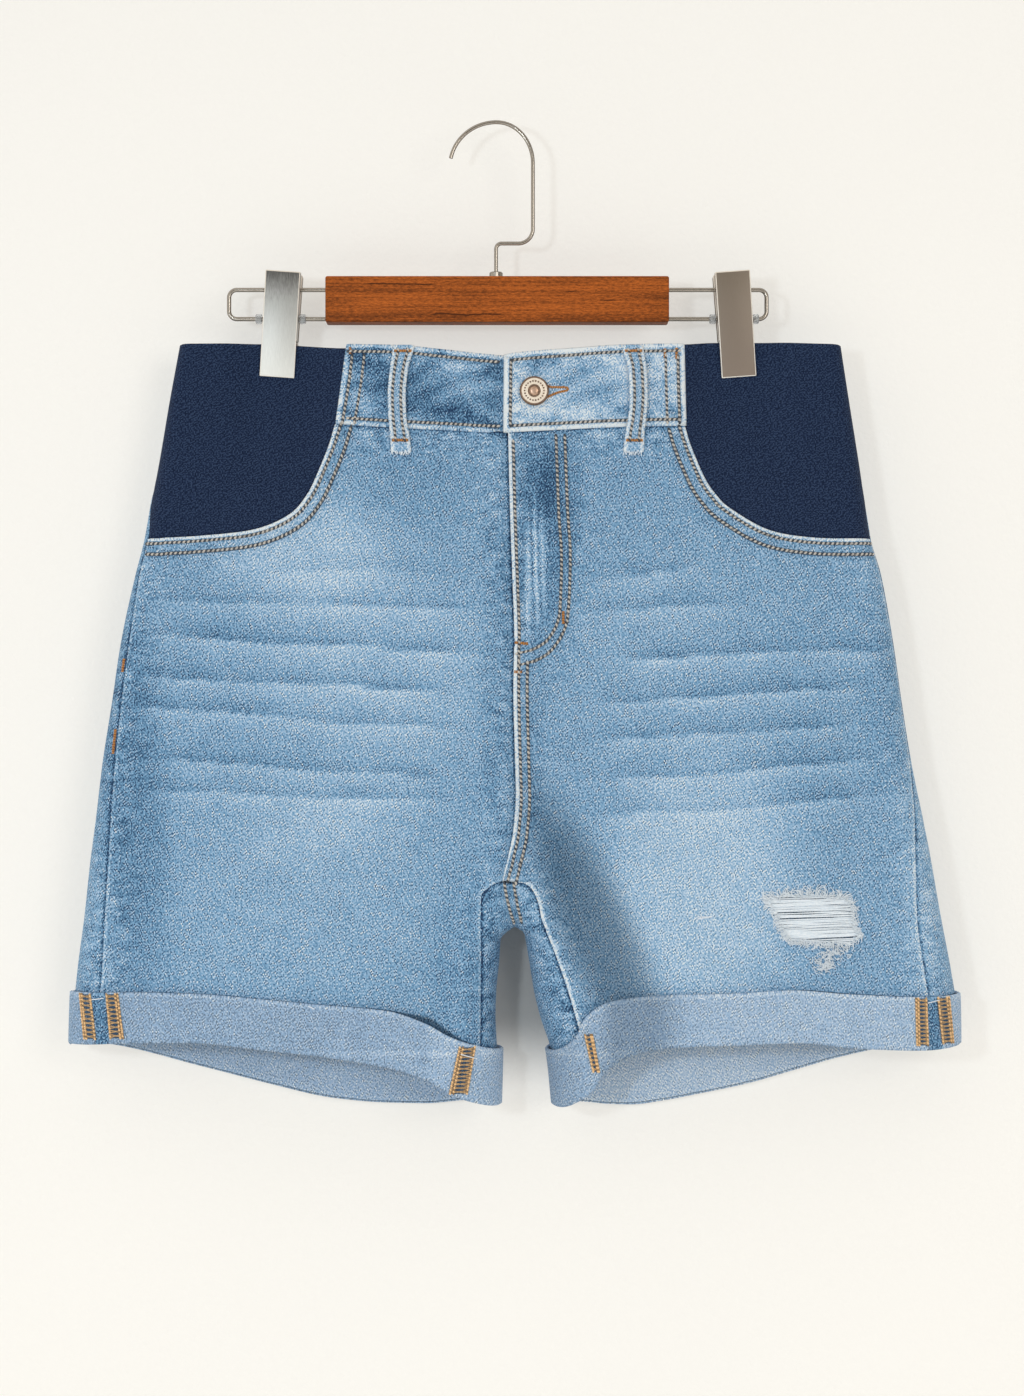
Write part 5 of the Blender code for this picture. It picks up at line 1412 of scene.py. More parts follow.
def knit_finish(cloth):
    """Navy elastic knit: narrow ribs with fine paler flecks."""
    navy = tuple(cloth.knit_navy)
    made = Finish("navy_elastic", roughness=0.9, space="UV", Sheen_Weight=0.03,
                  Sheen_Roughness=0.5, Specular_IOR_Level=0.15)
    weave = made.place()
    ribs = made.waves(weave, 0.314 / 1.5, 1.4, 1.0, "X")
    fleck = made.noise((0.62, 0.85, 1.0), 3.0, 0.7)
    grain = made.grains(0.75, 0.7, 0.5)
    cloud = made.noise(weave, scale=0.05)
    rim = made.times(made.field("wear"), made.fade(made.field("rim"), 0.0, 2.5))
    shadow = made.fade(made.field("seam"), 0.0, 1.7)
    tone = made.total(0.5, (ribs, 0.16), (fleck, 1.9), (grain, 1.75), (cloud, 0.16), (rim, 0.3),
                      (shadow, -0.6))
    made.colour(made.ramp(tone, (0.0, shade(navy, 0.38, 0.5, 0.6)), (0.5, navy),
                          (1.0, shade(navy, 2.5, 2.1, 1.7))))
    made.bump(made.total((ribs, 0.5), (fleck, 1.2)), 0.0004, 0.7)
    return made.material


def thread_finish(name, dark, light, level=0.0):
    """Thread painted in a shaded and a lit tone; level is the tone of a thread without its own."""
    made = Finish(name, roughness=0.75, Sheen_Weight=0.1)
    tone = made.total(made.field("tone"), level, made.noise(made.place(), scale=0.7))
    made.colour(made.ramp(tone, (0.1, dark), (0.5, mix_colour(dark, light, 0.35)), (0.9, light)))
    made.bump(made.noise(made.place(), scale=2.2), 0.0002, 0.4)
    return made.material


def frayed_finish(cloth):
    """Bare white weft threads with a trace of blue."""
    made = Finish("bare_weft", roughness=0.85, Sheen_Weight=0.15)
    speck = made.noise((0.7, 0.7, 1.4), 3.0, 0.6)
    blue = mix_colour(tuple(cloth.denim_blue), (0.9, 0.92, 0.94), 0.55)
    made.colour(made.ramp(made.total(speck, 0.6), (0.1, blue), (0.5, (0.68, 0.76, 0.84)),
                          (0.9, (0.84, 0.88, 0.92))))
    made.bump(speck, 0.0003, 0.5)
    return made.material


# Dark streaks of the bar: height, half width, left and right end.
STREAKS = [(-94.6, 0.4, -78.0, -34.0), (-112.4, 0.5, -38.0, 6.0), (-98.6, 0.3, 38.0, 50.0),
           (-104.2, 0.3, 58.0, 72.0)]


def wood_finish(hanger):
    """Varnished red-brown wood with long dark pores and a painted shade along its foot."""
    brown = tuple(hanger.wood_brown)
    made = Finish("varnished_bar", roughness=0.55, Specular_IOR_Level=0.12)
    grain = made.noise((0.012, 0.35, 0.75), 5.0, 0.6)
    pores = made.noise((0.35, 1.0, 1.2), 3.0, 0.75)
    cloud = made.noise((0.02, 0.06, 0.06))
    x, _, z = made.axes()
    wander = made.times(made.noise((0.04, 0.04, 0.02)), 4.0)
    streaks = []
    for middle, width, left, right in STREAKS:
        height = made.math("ABSOLUTE", made.total(z, -middle, wander))
        streaks.append(made.times(made.fade(height, width * 0.3, width * 1.6),
                                  made.fade(x, left + 6.0, left),
                                  made.fade(x, right - 6.0, right)))
    # Painted shade: the bar darkens towards its foot, where it turns from the light.
    foot_shade = made.fade(z, -114.6, -110.5)
    tone = made.total(0.5, (grain, 1.2), (pores, 1.7), (cloud, 0.5),
                      (made.total(*streaks), -0.5), (foot_shade, -0.2))
    made.colour(made.ramp(tone, (0.0, shade(brown, 0.22)), (0.35, shade(brown, 0.62)),
                          (0.55, brown), (1.0, shade(brown, 1.7))))
    made.bump(made.total((grain, 0.5), pores), 0.0002, 0.35)
    return made.material


def metal_finish(name, colour, roughness, stretch, variety, rim=0.0):
    """Metal with fine brushing along one way; rim is how far painted shade darkens it where it
    turns away.
    """
    made = Finish(name, roughness=roughness, metallic=1.0)
    brushed = made.noise(stretch, 4.0, 0.6)
    tone = made.total((brushed, variety * 4.0), 0.5)
    ramp = made.ramp(tone, (0.0, shade(colour, 1.0 - variety)), (0.5, colour),
                     (1.0, shade(colour, 1.0 + variety)))
    # Painted reflection: the metal darkens towards its outline, where it would mirror darker
    # surroundings.
    facing = made.add("ShaderNodeLayerWeight", {"Blend": 0.5}).outputs["Facing"]
    away = made.times(made.math("POWER", facing, 0.9), rim)
    made.colour(made.dimmed(ramp, away, (0.10, 0.09, 0.07)))
    made.bump(brushed, 0.00005, 0.4)
    return made.material


def clip_finish(name, top, foot):
    """Brushed sheet metal with a painted reflection running from the top of the clip to its foot.
    """
    made = Finish(name, roughness=0.42, metallic=0.25, Specular_IOR_Level=0.3)
    brushed = made.noise((2.4, 2.4, 0.07), 4.0, 0.6)
    drop = made.times(made.total(made.axes()["Z"], 88.0), -1.0 / 60.0)
    tone = made.total(drop, (brushed, 0.35))
    made.colour(made.ramp(tone, (0.0, top), (0.25, mix_colour(top, foot, 0.38)), (1.0, foot)))
    made.bump(brushed, 0.00004, 0.3)
    return made.material


def plastic_finish():
    """Clear moulded plastic."""
    made = Finish("clear_sleeve", roughness=0.12, IOR=1.49, Transmission_Weight=0.75)
    cloud = made.total(made.noise((0.5, 0.5, 0.5)), 0.5)
    made.colour(made.ramp(cloud, (0.0, (0.72, 0.75, 0.78)), (1.0, (0.9, 0.92, 0.94))))
    return made.material


# --- Settings ----------------------------------------------------------------------------------
def colour_setting(name, description, default):
    """A colour that a user may change."""
    return FloatVectorProperty(name=name, description=description, subtype="COLOR", size=3,
                               min=0.0, max=1.0, default=default)


def size_setting(name, description, default):
    """A length that a user may change."""
    return FloatProperty(name=name, description=description, default=default, unit="LENGTH",
                         min=0.00001, precision=5)


class ShortsCloth(bpy.types.PropertyGroup):
    """Colours and weave of the cloth."""
    denim_blue: colour_setting("Denim", "Washed right side of the denim", (0.155, 0.319, 0.512))
    wrong_side: colour_setting("Wrong side", "Pale side of the denim", (0.257, 0.392, 0.585))
    worn_white: colour_setting("Worn edge", "Denim worn white", (0.68, 0.74, 0.78))
    knit_navy: colour_setting("Knit", "Navy elastic of the side panels", (0.0098, 0.0213, 0.0580))
    twill_pitch: size_setting("Twill pitch", "Distance between two twill lines", 0.0012)


class ShortsSewing(bpy.types.PropertyGroup):
    """Threads and stitches."""
    pitch: size_setting("Strand pitch", "Distance from strand to strand of a row", 0.00135)
    length: size_setting("Strand length", "Length of a strand that shows", 0.0027)
    thickness: size_setting("Thread", "Thickness of the sewing thread", 0.0016)
    seed: IntProperty(name="Seed", description="Chance of small differences", default=5)
    dark: colour_setting("Dark strand", "Shaded strand", (0.032, 0.042, 0.056))
    light: colour_setting("Light strand", "Lit strand", (0.50, 0.47, 0.43))
    orange: colour_setting("Tack thread", "Orange bar tacks and buttonhole", (0.52, 0.22, 0.05))
    tan: colour_setting("Overlock thread", "Tan overlock of the seam ends", (0.80, 0.52, 0.26))


class ShortsRip(bpy.types.PropertyGroup):
    """Torn place on the thigh."""
    thread: size_setting("Weft thread", "Thickness of a bare weft thread", 0.0007)
    fibre: size_setting("Fibre", "Thickness of a frayed fibre", 0.00045)
    seed: IntProperty(name="Seed", description="Chance of each fibre's curl", default=21)


class ShortsHanger(bpy.types.PropertyGroup):
    """Finishes of the hanger."""
    wood_brown: colour_setting("Wood", "Varnished bar", (0.33, 0.082, 0.012))
    steel: colour_setting("Steel", "Wire, ferrule and clips", (0.50, 0.455, 0.40))
    copper: colour_setting("Button", "Copper of the button", (0.53, 0.36, 0.265))


class ShortsStage(bpy.types.PropertyGroup):
    """Wall, floor, lights and camera."""
    wall_gap: size_setting("Wall gap", "Distance from the hanger's plane to the wall", 0.0325)
    wall_glow: FloatProperty(name="Wall glow", description="Light that the wall gives by itself",
                             default=0.46)
    wall_colour: colour_setting("Wall", "Warm white plaster", (0.50, 0.492, 0.475))
    floor_height: FloatProperty(name="Floor", description="Height of the floor",
                                default=-0.80, unit="LENGTH")
    camera_distance: size_setting("Camera distance", "From the camera to the garment", 1.4)
    key_power: FloatProperty(name="Key light", description="Power of the main soft light",
                             default=4.7, unit="POWER")
    fill_power: FloatProperty(name="Fill light", description="Power of the second soft light",
                              default=17.0, unit="POWER")


SETTINGS = {"shorts_cloth": ShortsCloth, "shorts_sewing": ShortsSewing, "shorts_rip": ShortsRip,
            "shorts_hanger": ShortsHanger, "shorts_stage": ShortsStage}


def keep(piece, slot, *nodes):
    """Make a piece ride on the part and hide the nodes it stands for; slot is not used."""
    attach(piece, "root")
    if nodes:
        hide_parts(*nodes)
    return piece


def shared(name, make, *values):
    """A finish by its name, made when it is first asked for."""
    return bpy.data.materials.get(name) or make(*values)


def denim():
    """Right side of the denim."""
    name = "washed_denim"
    return shared(name, denim_finish, name, bpy.context.scene.shorts_cloth)


def wrong_side():
    """Wrong side of the denim."""
    name = "denim_inside"
    return shared(name, denim_finish, name, bpy.context.scene.shorts_cloth, True)


# --- Stitch paths ------------------------------------------------------------------------------
def on_panel(part, path, above, side=-1.0, wall=DENIM_WALL, lift=0.0):
    """Points just above the cloth for a path of the front or back view."""
    x, z = np.asarray(path, float).T
    points, normals = surface(part, side * Section(part, z, lift).run_at(x), z, lift)
    return points + normals * (wall / 2 + above)


def on_band(path, above=0.3, side=-1.0):
    """Points just above the waistband for a path of the front or back view."""
    return on_panel("body", path, above, side, BAND_WALL, BAND_LIFT)


def on_flat(part, path):
    """Points just above the cloth for a path on the cloth laid flat."""
    x, z = np.asarray(path, float).T
    section = Section(part, z)
    run = section.radius - section.arc - section.turn * (x - section.outer)
    points, normals = surface(part, run, z)
    return points + normals * (DENIM_WALL / 2 + 0.3)


def on_loop(part, down, across, above):
    """Points just above a belt loop at shares of its length and of its width."""
    points, normals, _, _ = loop_frame(part, *np.broadcast_arrays(down, across))
    return points + normals * (LOOP_WALL / 2 + above)


def front_stitches():
    """Stitch rows of the two fronts."""
    paths = []
    for part, turn in (("right", 1.0), ("left", -1.0)):
        inset = spaced(inset_edge(part), 120)
        for away in (3.0, 9.2):
            row = beside(inset, -turn * away)
            row = row[np.abs(row[:, 0] - Section(part, row[:, 1]).outer) > 2.0]
            paths.append(on_panel(part, row, 0.72))
    centre = centre_edge()
    upper, lower = centre[centre[:, 1] > -318.0], centre[centre[:, 1] < -312.0]
    for row in (beside(upper, 2.6)[2:], beside(lower, 2.8), beside(lower, 7.6)):
        paths.append(on_panel("left", row, 0.72))
    for line in (FLY_LINE, FLY_INNER_LINE):
        paths.append(on_panel("left", smooth_line(line, 90), 0.3))
    return paths


def rise_stitches():
    """Double stitching of the back rise that shows at the crotch, and of the seat seam."""
    paths = []
    for side, rows, z in ((-1.0, (4.0, 14.5), np.linspace(-441.5, -464.0, 14)),
                          (1.0, (2.6, 8.0), np.linspace(-180.0, -436.0, 90))):
        section = Section("left", z)
        for away in rows:
            paths.append(on_flat("left", pairs(section.flat_x(side * (section.length - away)), z)))
    return paths


def band_stitches():
    """Stitch rows round the front and back waistband; those of the belt loops come last."""
    rows = []
    for start, end in ((-86.0, 1.0), (9.4, 105.8)):
        x = np.linspace(start, end, 60)
        rows += [on_band(pairs(x, BAND.top(x) - 3.6)), on_band(pairs(x, BAND.foot(x) + 3.0))]
    z = np.linspace(-136.0, -175.0, 24)
    for end, turn in ((BAND_ENDS.right, 1.0), (BAND_ENDS.left, -1.0)):
        rows += [on_band(pairs(end(z) + turn * away, z)) for away in (3.4, 10.4)]
    z = np.linspace(-139.0, -177.0, 24)
    rows.append(on_band(pairs(mix(8.4, 8.0, (z + 139.0) / -38.0), z)))
    x = np.linspace(-180.0, 196.0, 150)
    for height in (back_band_top(x) - 3.4, BACK_BAND_FOOT + 3.2):
        rows.append(on_band(pairs(x, height), side=1.0))
    down = np.linspace(0.04, 0.9, 40)
    rows += [on_loop(part, down, across, 0.45) for part in ("right", "left")
             for across in (0.24, 0.76)]
    return rows


def tack_paths():
    """Orange bar tacks: short rows of close crosswise beads."""
    across = np.linspace(0.06, 0.94, 12)
    paths = [on_loop(part, down, across, 0.5) for part in ("right", "left")
             for down in (0.05, 0.90)]
    for x, top, foot in ((-84.9, -131.6, -135.0), (97.7, -132.4, -137.4), (104.4, -132.0, -137.6)):
        paths.append(on_band(pairs(x, np.linspace(top, foot, 6)), 0.4))
    x = np.linspace(10.8, 18.0, 8)
    paths.append(on_panel("left", pairs(x, -301.6 - 0.1 * x), 0.55))
    paths.append(on_panel("left", pairs(38.6, np.linspace(-285.0, -291.6, 8)), 0.5))
    paths.append(on_panel("left", pairs(np.linspace(10.6, 14.6, 5), -319.6), 0.55))
    for top, foot in ((-312.4, -319.4), (-353.0, -366.6)):
        z = np.linspace(top, foot, 8)
        line = pairs(Section("right", z).flat_x(-seam_run("right", z) + 1.6), z)
        paths.append(on_flat("right", line))
    return paths


# Buttonhole: an eye beside the button that closes to a point at its far end.
KEYHOLE = [(23.6, -161.0), (27.0, -161.4), (31.0, -159.6), (36.0, -157.6), (40.6, -156.6),
           (41.6, -155.8), (40.6, -154.8), (35.6, -154.6), (31.0, -154.4), (27.0, -152.8),
           (23.6, -153.0)]
# Overlocked seam ends on the cuffs: leg, both edges at the top, both at the foot, then the
# heights of the top and the foot.
OVERLOCKS = [
    ("right", -239.0, -232.3, -236.3, -229.3, -504.9, -530.2),
    ("right", -223.9, -217.0, -221.4, -213.4, -504.6, -529.6),
    ("right", -21.3, -12.4, -27.0, -16.7, -534.8, -561.2),
    ("left", 50.5, 54.9, 55.3, 58.9, -527.6, -548.6),
    ("left", 240.3, 246.7, 240.7, 247.5, -507.0, -533.6),
    ("left", 252.6, 259.7, 255.4, 262.3, -506.8, -532.8),
]
# Loose thread ends: where they lie, their leg, and their first and last points.
LOOSE_ENDS = [
    ("cuff", "right", (-231.4, -507.8), (-225.0, -506.8)),
    ("cuff", "right", (-20.4, -538.6), (-12.0, -541.4)),
    ("cuff", "left", (247.0, -509.6), (253.4, -508.0)),
    ("cuff", "right", (-107.6, -511.0), (-104.0, -512.8)),
    ("cuff", "left", (115.4, -506.0), (119.4, -507.2)),
    ("thigh", "left", (115.6, -461.8), (124.2, -460.6)),
    ("thigh", "left", (115.6, -460.7), (124.2, -460.6)),
    ("inside", "right", (-99.6, -545.6), (-92.2, -546.6)),
    ("inside", "left", (141.4, -535.0), (149.6, -535.8)),
]


def overlock_row(end, share, across, above):
    """Points over a seam end at shares of its length and of its width."""
    part, top_a, top_b, foot_a, foot_b, top, foot = end
    x = mix(mix(top_a, foot_a, share), mix(top_b, foot_b, share), across)
    return cuff_point(part, x, mix(top, foot, share), above)


def overlock_paths():
    """Zigzag loopers, chain rows and dark threads of painted shade beneath the overlocked seam
    ends.
    """
    loopers, chains, shade_bed = [], [], []
    even = np.linspace(0.0, 1.0, 24)
    for number, end in enumerate(OVERLOCKS):
        turns = int((end[-2] - end[-1]) / 4.3)
        share = np.linspace(0.0, 1.0, 20 * turns + 1)
        for start in (0, 1):
            swing = 0.5 - 0.5 * np.cos((share * 2 * turns + start) * math.pi)
            loopers.append(overlock_row(end, share, swing, 0.3 + 0.1 * start))
        for across in (0.05, 0.24 if number % 2 == 0 else 0.76, 0.95):
            chains.append(overlock_row(end, even, across, 0.62))
        for across in np.linspace(0.1, 0.9, 5):
            shade_bed.append(overlock_row(end, even, across, -0.45))
    return loopers, chains, shade_bed


def loose_tacks():
    """Small pale thread ends on the cuffs, on the thigh and inside the hems."""
    paths = []
    share = np.linspace(0.0, 1.0, 6)[:, None]
    for where, part, start, end in LOOSE_ENDS:
        line = mix(np.array(start), np.array(end), share)
        if where == "cuff":
            paths.append(cuff_point(part, *line.T, 1.0))
        elif where == "thigh":
            paths.append(on_panel(part, line, 0.2))
        else:
            paths.append(on_panel(part, line, -DENIM_WALL - 0.3, side=1.0))
    return paths


# --- Torn place --------------------------------------------------------------------------------
# Depths and, beside them, the threads' ends; then the heights of the open slots.
RIP_LEFT = ([446.0, 450.0, 457.0, 466.0, 474.0, 477.0], [160.0, 154.6, 158.4, 162.6, 167.4, 172.0])
RIP_RIGHT = ([446.0, 450.0, 456.0, 463.0, 471.5, 477.0], [200.0, 203.0, 206.2, 205.8, 210.0, 205.0])
RIP_SLOTS = (-457.9, -461.4, -467.4, -473.0)


def rip_threads(rip):
    """Bare weft threads across the opening, with slots left between some of them."""
    chance = np.random.default_rng(rip.seed)
    paths = []
    for z in np.arange(-446.9, -476.6, -0.50):
        if min(abs(z - slot) for slot in RIP_SLOTS) < 0.27:
            continue
        slope = -0.035 + 0.012 * chance.standard_normal()
        left, right = np.interp(-z, *RIP_LEFT) - 1.2, np.interp(-z, *RIP_RIGHT) + 1.0
        x = np.linspace(left, right, 15)
        sag = 0.35 * np.sin((x - left) / (right - left) * math.pi) * chance.uniform(0.2, 1.0)
        height = z - slope * (x - 180.0) + 0.10 * np.cumsum(chance.standard_normal(15)) * 0.6
        above = chance.uniform(-0.5, 0.1) - sag
        paths.append(on_panel("left", pairs(x, height), above[:, None]))
    return paths


def rip_fringe(rip):
    """Curled white fibres round the torn edge, with a longer lobe at its lower right."""
    chance = np.random.default_rng(rip.seed + 1)
    starts = []
    middle = RIP.mean(axis=0)
    for point in spaced(np.concatenate((RIP, RIP[:1])), 330):
        away = point - middle
        away /= np.linalg.norm(away)
        length = chance.uniform(3.0, 7.5 if away[1] > 0.2 else 5.5)
        starts.append((point - away * chance.uniform(0.0, 2.2), away, length))
    for _ in range(150):
        share = chance.uniform(0.0, 1.0) ** 0.8
        x = mix(196.0, 187.0, share) + chance.normal(0.0, mix(5.5, 1.6, share))
        z = mix(-477.0, -492.0, share) + chance.normal(0.0, 1.0)
        turn = chance.uniform(0, 2 * math.pi)
        starts.append((np.array((x, z)), np.array((math.cos(turn), math.sin(turn))),
                       chance.uniform(1.6, 3.6)))
    paths = []
    t = np.linspace(0.0, 1.0, 8)
    for start, away, length in starts:
        curl = chance.choice((-1.0, 1.0)) * chance.uniform(0.5, 1.9)
        angle = math.atan2(away[1], away[0]) + chance.normal(0.0, 0.45) - 0.4 * curl
        turn = angle + curl * t * 1.6
        steps = pairs(np.cos(turn), np.sin(turn)) * (length / 7)
        path = start + np.concatenate(([[0.0, 0.0]], np.cumsum(steps[:-1], axis=0)))
        above = 0.2 + np.sin(t * math.pi) * chance.uniform(0.4, 1.5)
        paths.append(on_panel("left", path, above[:, None]))
    return paths


def loop_tails(rip):
    """Frayed tails under the two belt loops."""
    chance = np.random.default_rng(rip.seed + 2)
    paths = []
    t = np.linspace(0.0, 1.0, 4)[:, None]
    for part in ("right", "left"):
        for across in np.linspace(0.04, 0.96, 26):
            points, normals, _, _ = loop_frame(part, np.array([0.985]), np.array([across]))
            length = chance.uniform(1.6, 3.6)
            fall = np.array([chance.normal(0, 0.3), -0.3, -1.0]) * length * t
            paths.append(points[0] + normals[0] * 0.1 + fall)
    return paths


# --- Operators ---------------------------------------------------------------------------------
class Builder:
    """Common words of the operators."""
    bl_options = {"REGISTER", "UNDO"}


class SHORTS_OT_fronts(Builder, bpy.types.Operator):
    """Build the two denim fronts"""
    bl_idname = "shorts.fronts"
    bl_label = "Denim fronts"

    def execute(self, context):
        for part, size in (("right", (0.222, 0.392)), ("left", (0.246, 0.392))):
            piece = keep(front_panel(part, denim(), wrong_side()), "denim", "front_" + part)
        return {"FINISHED"}


class SHORTS_OT_backs(Builder, bpy.types.Operator):
    """Build the two denim backs"""
    bl_idname = "shorts.backs"
    bl_label = "Denim backs"

    def execute(self, context):
        for part in ("right", "left"):
            piece = keep(back_panel(part, denim(), wrong_side()), "denim", "back_" + part)
        return {"FINISHED"}


class SHORTS_OT_knit(Builder, bpy.types.Operator):
    """Build the two navy knit side panels"""
    bl_idname = "shorts.knit"
    bl_label = "Knit side panels"

    def execute(self, context):
        finish = shared("navy_elastic", knit_finish, context.scene.shorts_cloth)
        for part in ("right", "left"):
            piece = keep(knit_panel(part, finish, finish), "navy_knit", "side_panel_" + part)
        return {"FINISHED"}


class SHORTS_OT_waistband(Builder, bpy.types.Operator):
    """Build the waistband's three lengths and the belt loops"""
    bl_idname = "shorts.waistband"
    bl_label = "Waistband and belt loops"

    def execute(self, context):
        right, left = front_bands(denim(), wrong_side())
        keep(right, "denim", "waistband_right")
        keep(left, "denim", "waistband_left")
        back = keep(back_band(denim(), wrong_side()), "denim", "waistband_back")
        for part in ("right", "left"):
            piece = keep(belt_loop(part, denim(), wrong_side()), "denim", "belt_loop_" + part)
        return {"FINISHED"}


class SHORTS_OT_cuffs(Builder, bpy.types.Operator):
    """Build the two rolled cuffs"""
    bl_idname = "shorts.cuffs"
    bl_label = "Rolled cuffs"

    def execute(self, context):
        for part, width in (("right", 0.536), ("left", 0.520)):
            piece = keep(cuff(part, wrong_side()), "denim_wrong_side", "cuff_" + part)
        return {"FINISHED"}


def threaded(thickness, sides, finish):
    """Values for round threads, their thickness in metres."""
    return {"Thickness": thickness, "Sides": sides, "Finish": finish}


class SHORTS_OT_sewing(Builder, bpy.types.Operator):
    """Sew the stitch rows, bar tacks, buttonhole and overlocked seam ends"""
    bl_idname = "shorts.sewing"
    bl_label = "Sewing"

    def execute(self, context):
        sewing, wrong = context.scene.shorts_sewing, "denim_wrong_side"
        stitches, threads = stitch_tree(), thread_tree()
        plain = thread_finish("seam_thread", tuple(sewing.dark), tuple(sewing.light))
        orange = thread_finish("tack_thread", shade(sewing.orange, 0.55), tuple(sewing.orange))
        tan = thread_finish("overlock_thread", shade(sewing.tan, 0.25), tuple(sewing.tan), 0.45)
        pale = thread_finish("loose_thread", (0.60, 0.66, 0.74), (0.84, 0.88, 0.93), 0.5)
        row = {"Pitch": sewing.pitch, "Length": sewing.length, "Thickness": sewing.thickness,
               "Lean": 0.42, "Across": 0.0, "Seed": sewing.seed, "Finish": plain}
        tack = dict(row, Pitch=0.0007, Length=0.0021, Thickness=0.0008, Lean=0.0,
                    Across=math.pi / 2, Finish=orange)
        hole = dict(tack, Length=0.0018)
        chain = dict(row, Pitch=0.0011, Length=0.0017, Thickness=0.0013, Lean=0.5, Finish=tan)
        # Painted shade: dark tubes sunk under the stitch rows and the overlocks stand in for the
        # shade beside the stitches.
        stitch_shade = Finish("stitch_shade_finish", roughness=0.95, Specular_IOR_Level=0.1)
        stitch_shade.shader.inputs["Base Color"].default_value = (0.05, 0.09, 0.15, 1.0)
        fronts, bands, keyhole = front_stitches(), band_stitches(), smooth_line(KEYHOLE, 60)
        loopers, chains, shade_bed = overlock_paths()
        stitch_shade_paths = [path + (0.0, 1.05, 0.0) for path in fronts + bands[:-4]]
        for name, paths, tree, values, slot in (
                ("stitches_front", fronts, stitches, row, "denim"),
                ("stitch_shade_tubes", stitch_shade_paths, threads, threaded(0.0026, 6, stitch_shade.material), "denim"),
                ("stitches_rise", rise_stitches(), stitches, row, "denim"),
                ("stitches_waistband", bands, stitches, row, "denim"),
                ("bar_tacks", tack_paths(), stitches, tack, "denim"),
                ("buttonhole_stitches", [on_band(keyhole, 0.35)], stitches, hole, "denim"),
                ("overlock_shade_beds", shade_bed, threads, threaded(0.0021, 6, stitch_shade.material), wrong),
                ("overlock_chains", chains, stitches, chain, wrong),
                ("overlock_loopers", loopers, threads, threaded(0.00095, 5, tan), wrong),
                ("loose_tacks", loose_tacks(), threads, threaded(0.0006, 6, pale), wrong)):
            keep(along_paths(name, paths, tree, values), slot)
        return {"FINISHED"}


class SHORTS_OT_rip(Builder, bpy.types.Operator):
    """Fill the torn place with bare weft threads and curled fibres"""
    bl_idname = "shorts.rip"
    bl_label = "Torn place"

    def execute(self, context):
        rip = context.scene.shorts_rip
        finish = frayed_finish(context.scene.shorts_cloth)
        threads = bpy.data.node_groups["Threads"]
        for name, paths, thickness, sides in (
                ("weft_threads", rip_threads(rip), rip.thread, 6),
                ("frayed_fibres", rip_fringe(rip) + loop_tails(rip), rip.fibre, 4)):
            values = threaded(thickness, sides, finish)
            keep(along_paths(name, paths, threads, values), "denim")
        return {"FINISHED"}


def turned_mesh(name, profile, steps, centre, finish):
    """Ring of faces turned about a line through the centre, towards the front."""
    radius, height = np.array(profile, float).T
    angle = np.linspace(0.0, 2 * math.pi, steps, endpoint=False)[:, None]
    points = np.stack(np.broadcast_arrays(
        centre[0] + radius * np.cos(angle), centre[1] - height + 0 * angle,
        centre[2] + radius * np.sin(angle)), -1).reshape(-1, 3)
    count = len(radius)
    faces = []
    for k in range(steps):
        here, after = k * count, (k + 1) % steps * count
        faces += [(here + i, after + i, after + i + 1, here + i + 1) for i in range(count - 1)]
    mesh = bpy.data.meshes.new(name)
    mesh.from_pydata((points * MM).tolist(), [], faces)
    mesh.materials.append(finish)
    return placed(name, mesh)


def tidy_mesh(piece, angle):
    """Merge doubles, face outwards and shade smooth except at sharp edges."""
    shape = bmesh.new()
    shape.from_mesh(piece.data)
    bmesh.ops.remove_doubles(shape, verts=shape.verts, dist=0.000002)
    bmesh.ops.recalc_face_normals(shape, faces=shape.faces)
    shape.to_mesh(piece.data)
    shape.free()
    piece.data.shade_smooth()
    piece.data.set_sharp_from_angle(angle=math.radians(angle))
    return piece


def softened(name, width, finish, edge_finish):
    """Copy of a part's mesh with its sharp edges rounded off and finished apart."""
    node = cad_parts[name]
    shape = bmesh.new()
    shape.from_mesh(node.data)
    shape.transform(node.matrix_world)
    bmesh.ops.remove_doubles(shape, verts=shape.verts, dist=0.000002)
    sharp = [edge for edge in shape.edges if edge.calc_face_angle(0.0) > math.radians(35.0)]
    for face in shape.faces:
        face.material_index = 0
    bmesh.ops.bevel(shape, geom=sharp, offset=width * MM, segments=2, profile=0.6,
                    affect="EDGES", clamp_overlap=True, material=1)
    bmesh.ops.recalc_face_normals(shape, faces=shape.faces)
    mesh = bpy.data.meshes.new(name + "_metal")
    shape.to_mesh(mesh)
    shape.free()
    mesh.materials.append(finish)
    mesh.materials.append(edge_finish)
    mesh.shade_smooth()
    mesh.set_sharp_from_angle(angle=math.radians(50.0))
    return placed(name + "_metal", mesh)


# Radii of the button and their heights above its foot.
BUTTON_PROFILE = [
    (0.0, 3.15), (0.9, 3.13), (1.8, 3.05), (2.3, 2.88), (2.55, 2.6), (2.75, 2.45), (3.25, 2.4),
    (3.5, 2.5), (3.7, 2.78), (3.95, 2.92), (4.25, 2.95), (5.6, 2.86), (6.9, 2.72), (7.3, 2.74),
    (7.6, 2.86), (7.9, 2.84), (8.2, 2.6), (8.42, 2.2), (8.5, 1.7), (8.45, 1.2), (8.2, 0.7),
    (7.6, 0.3), (6.8, 0.1), (0.0, 0.1),
]


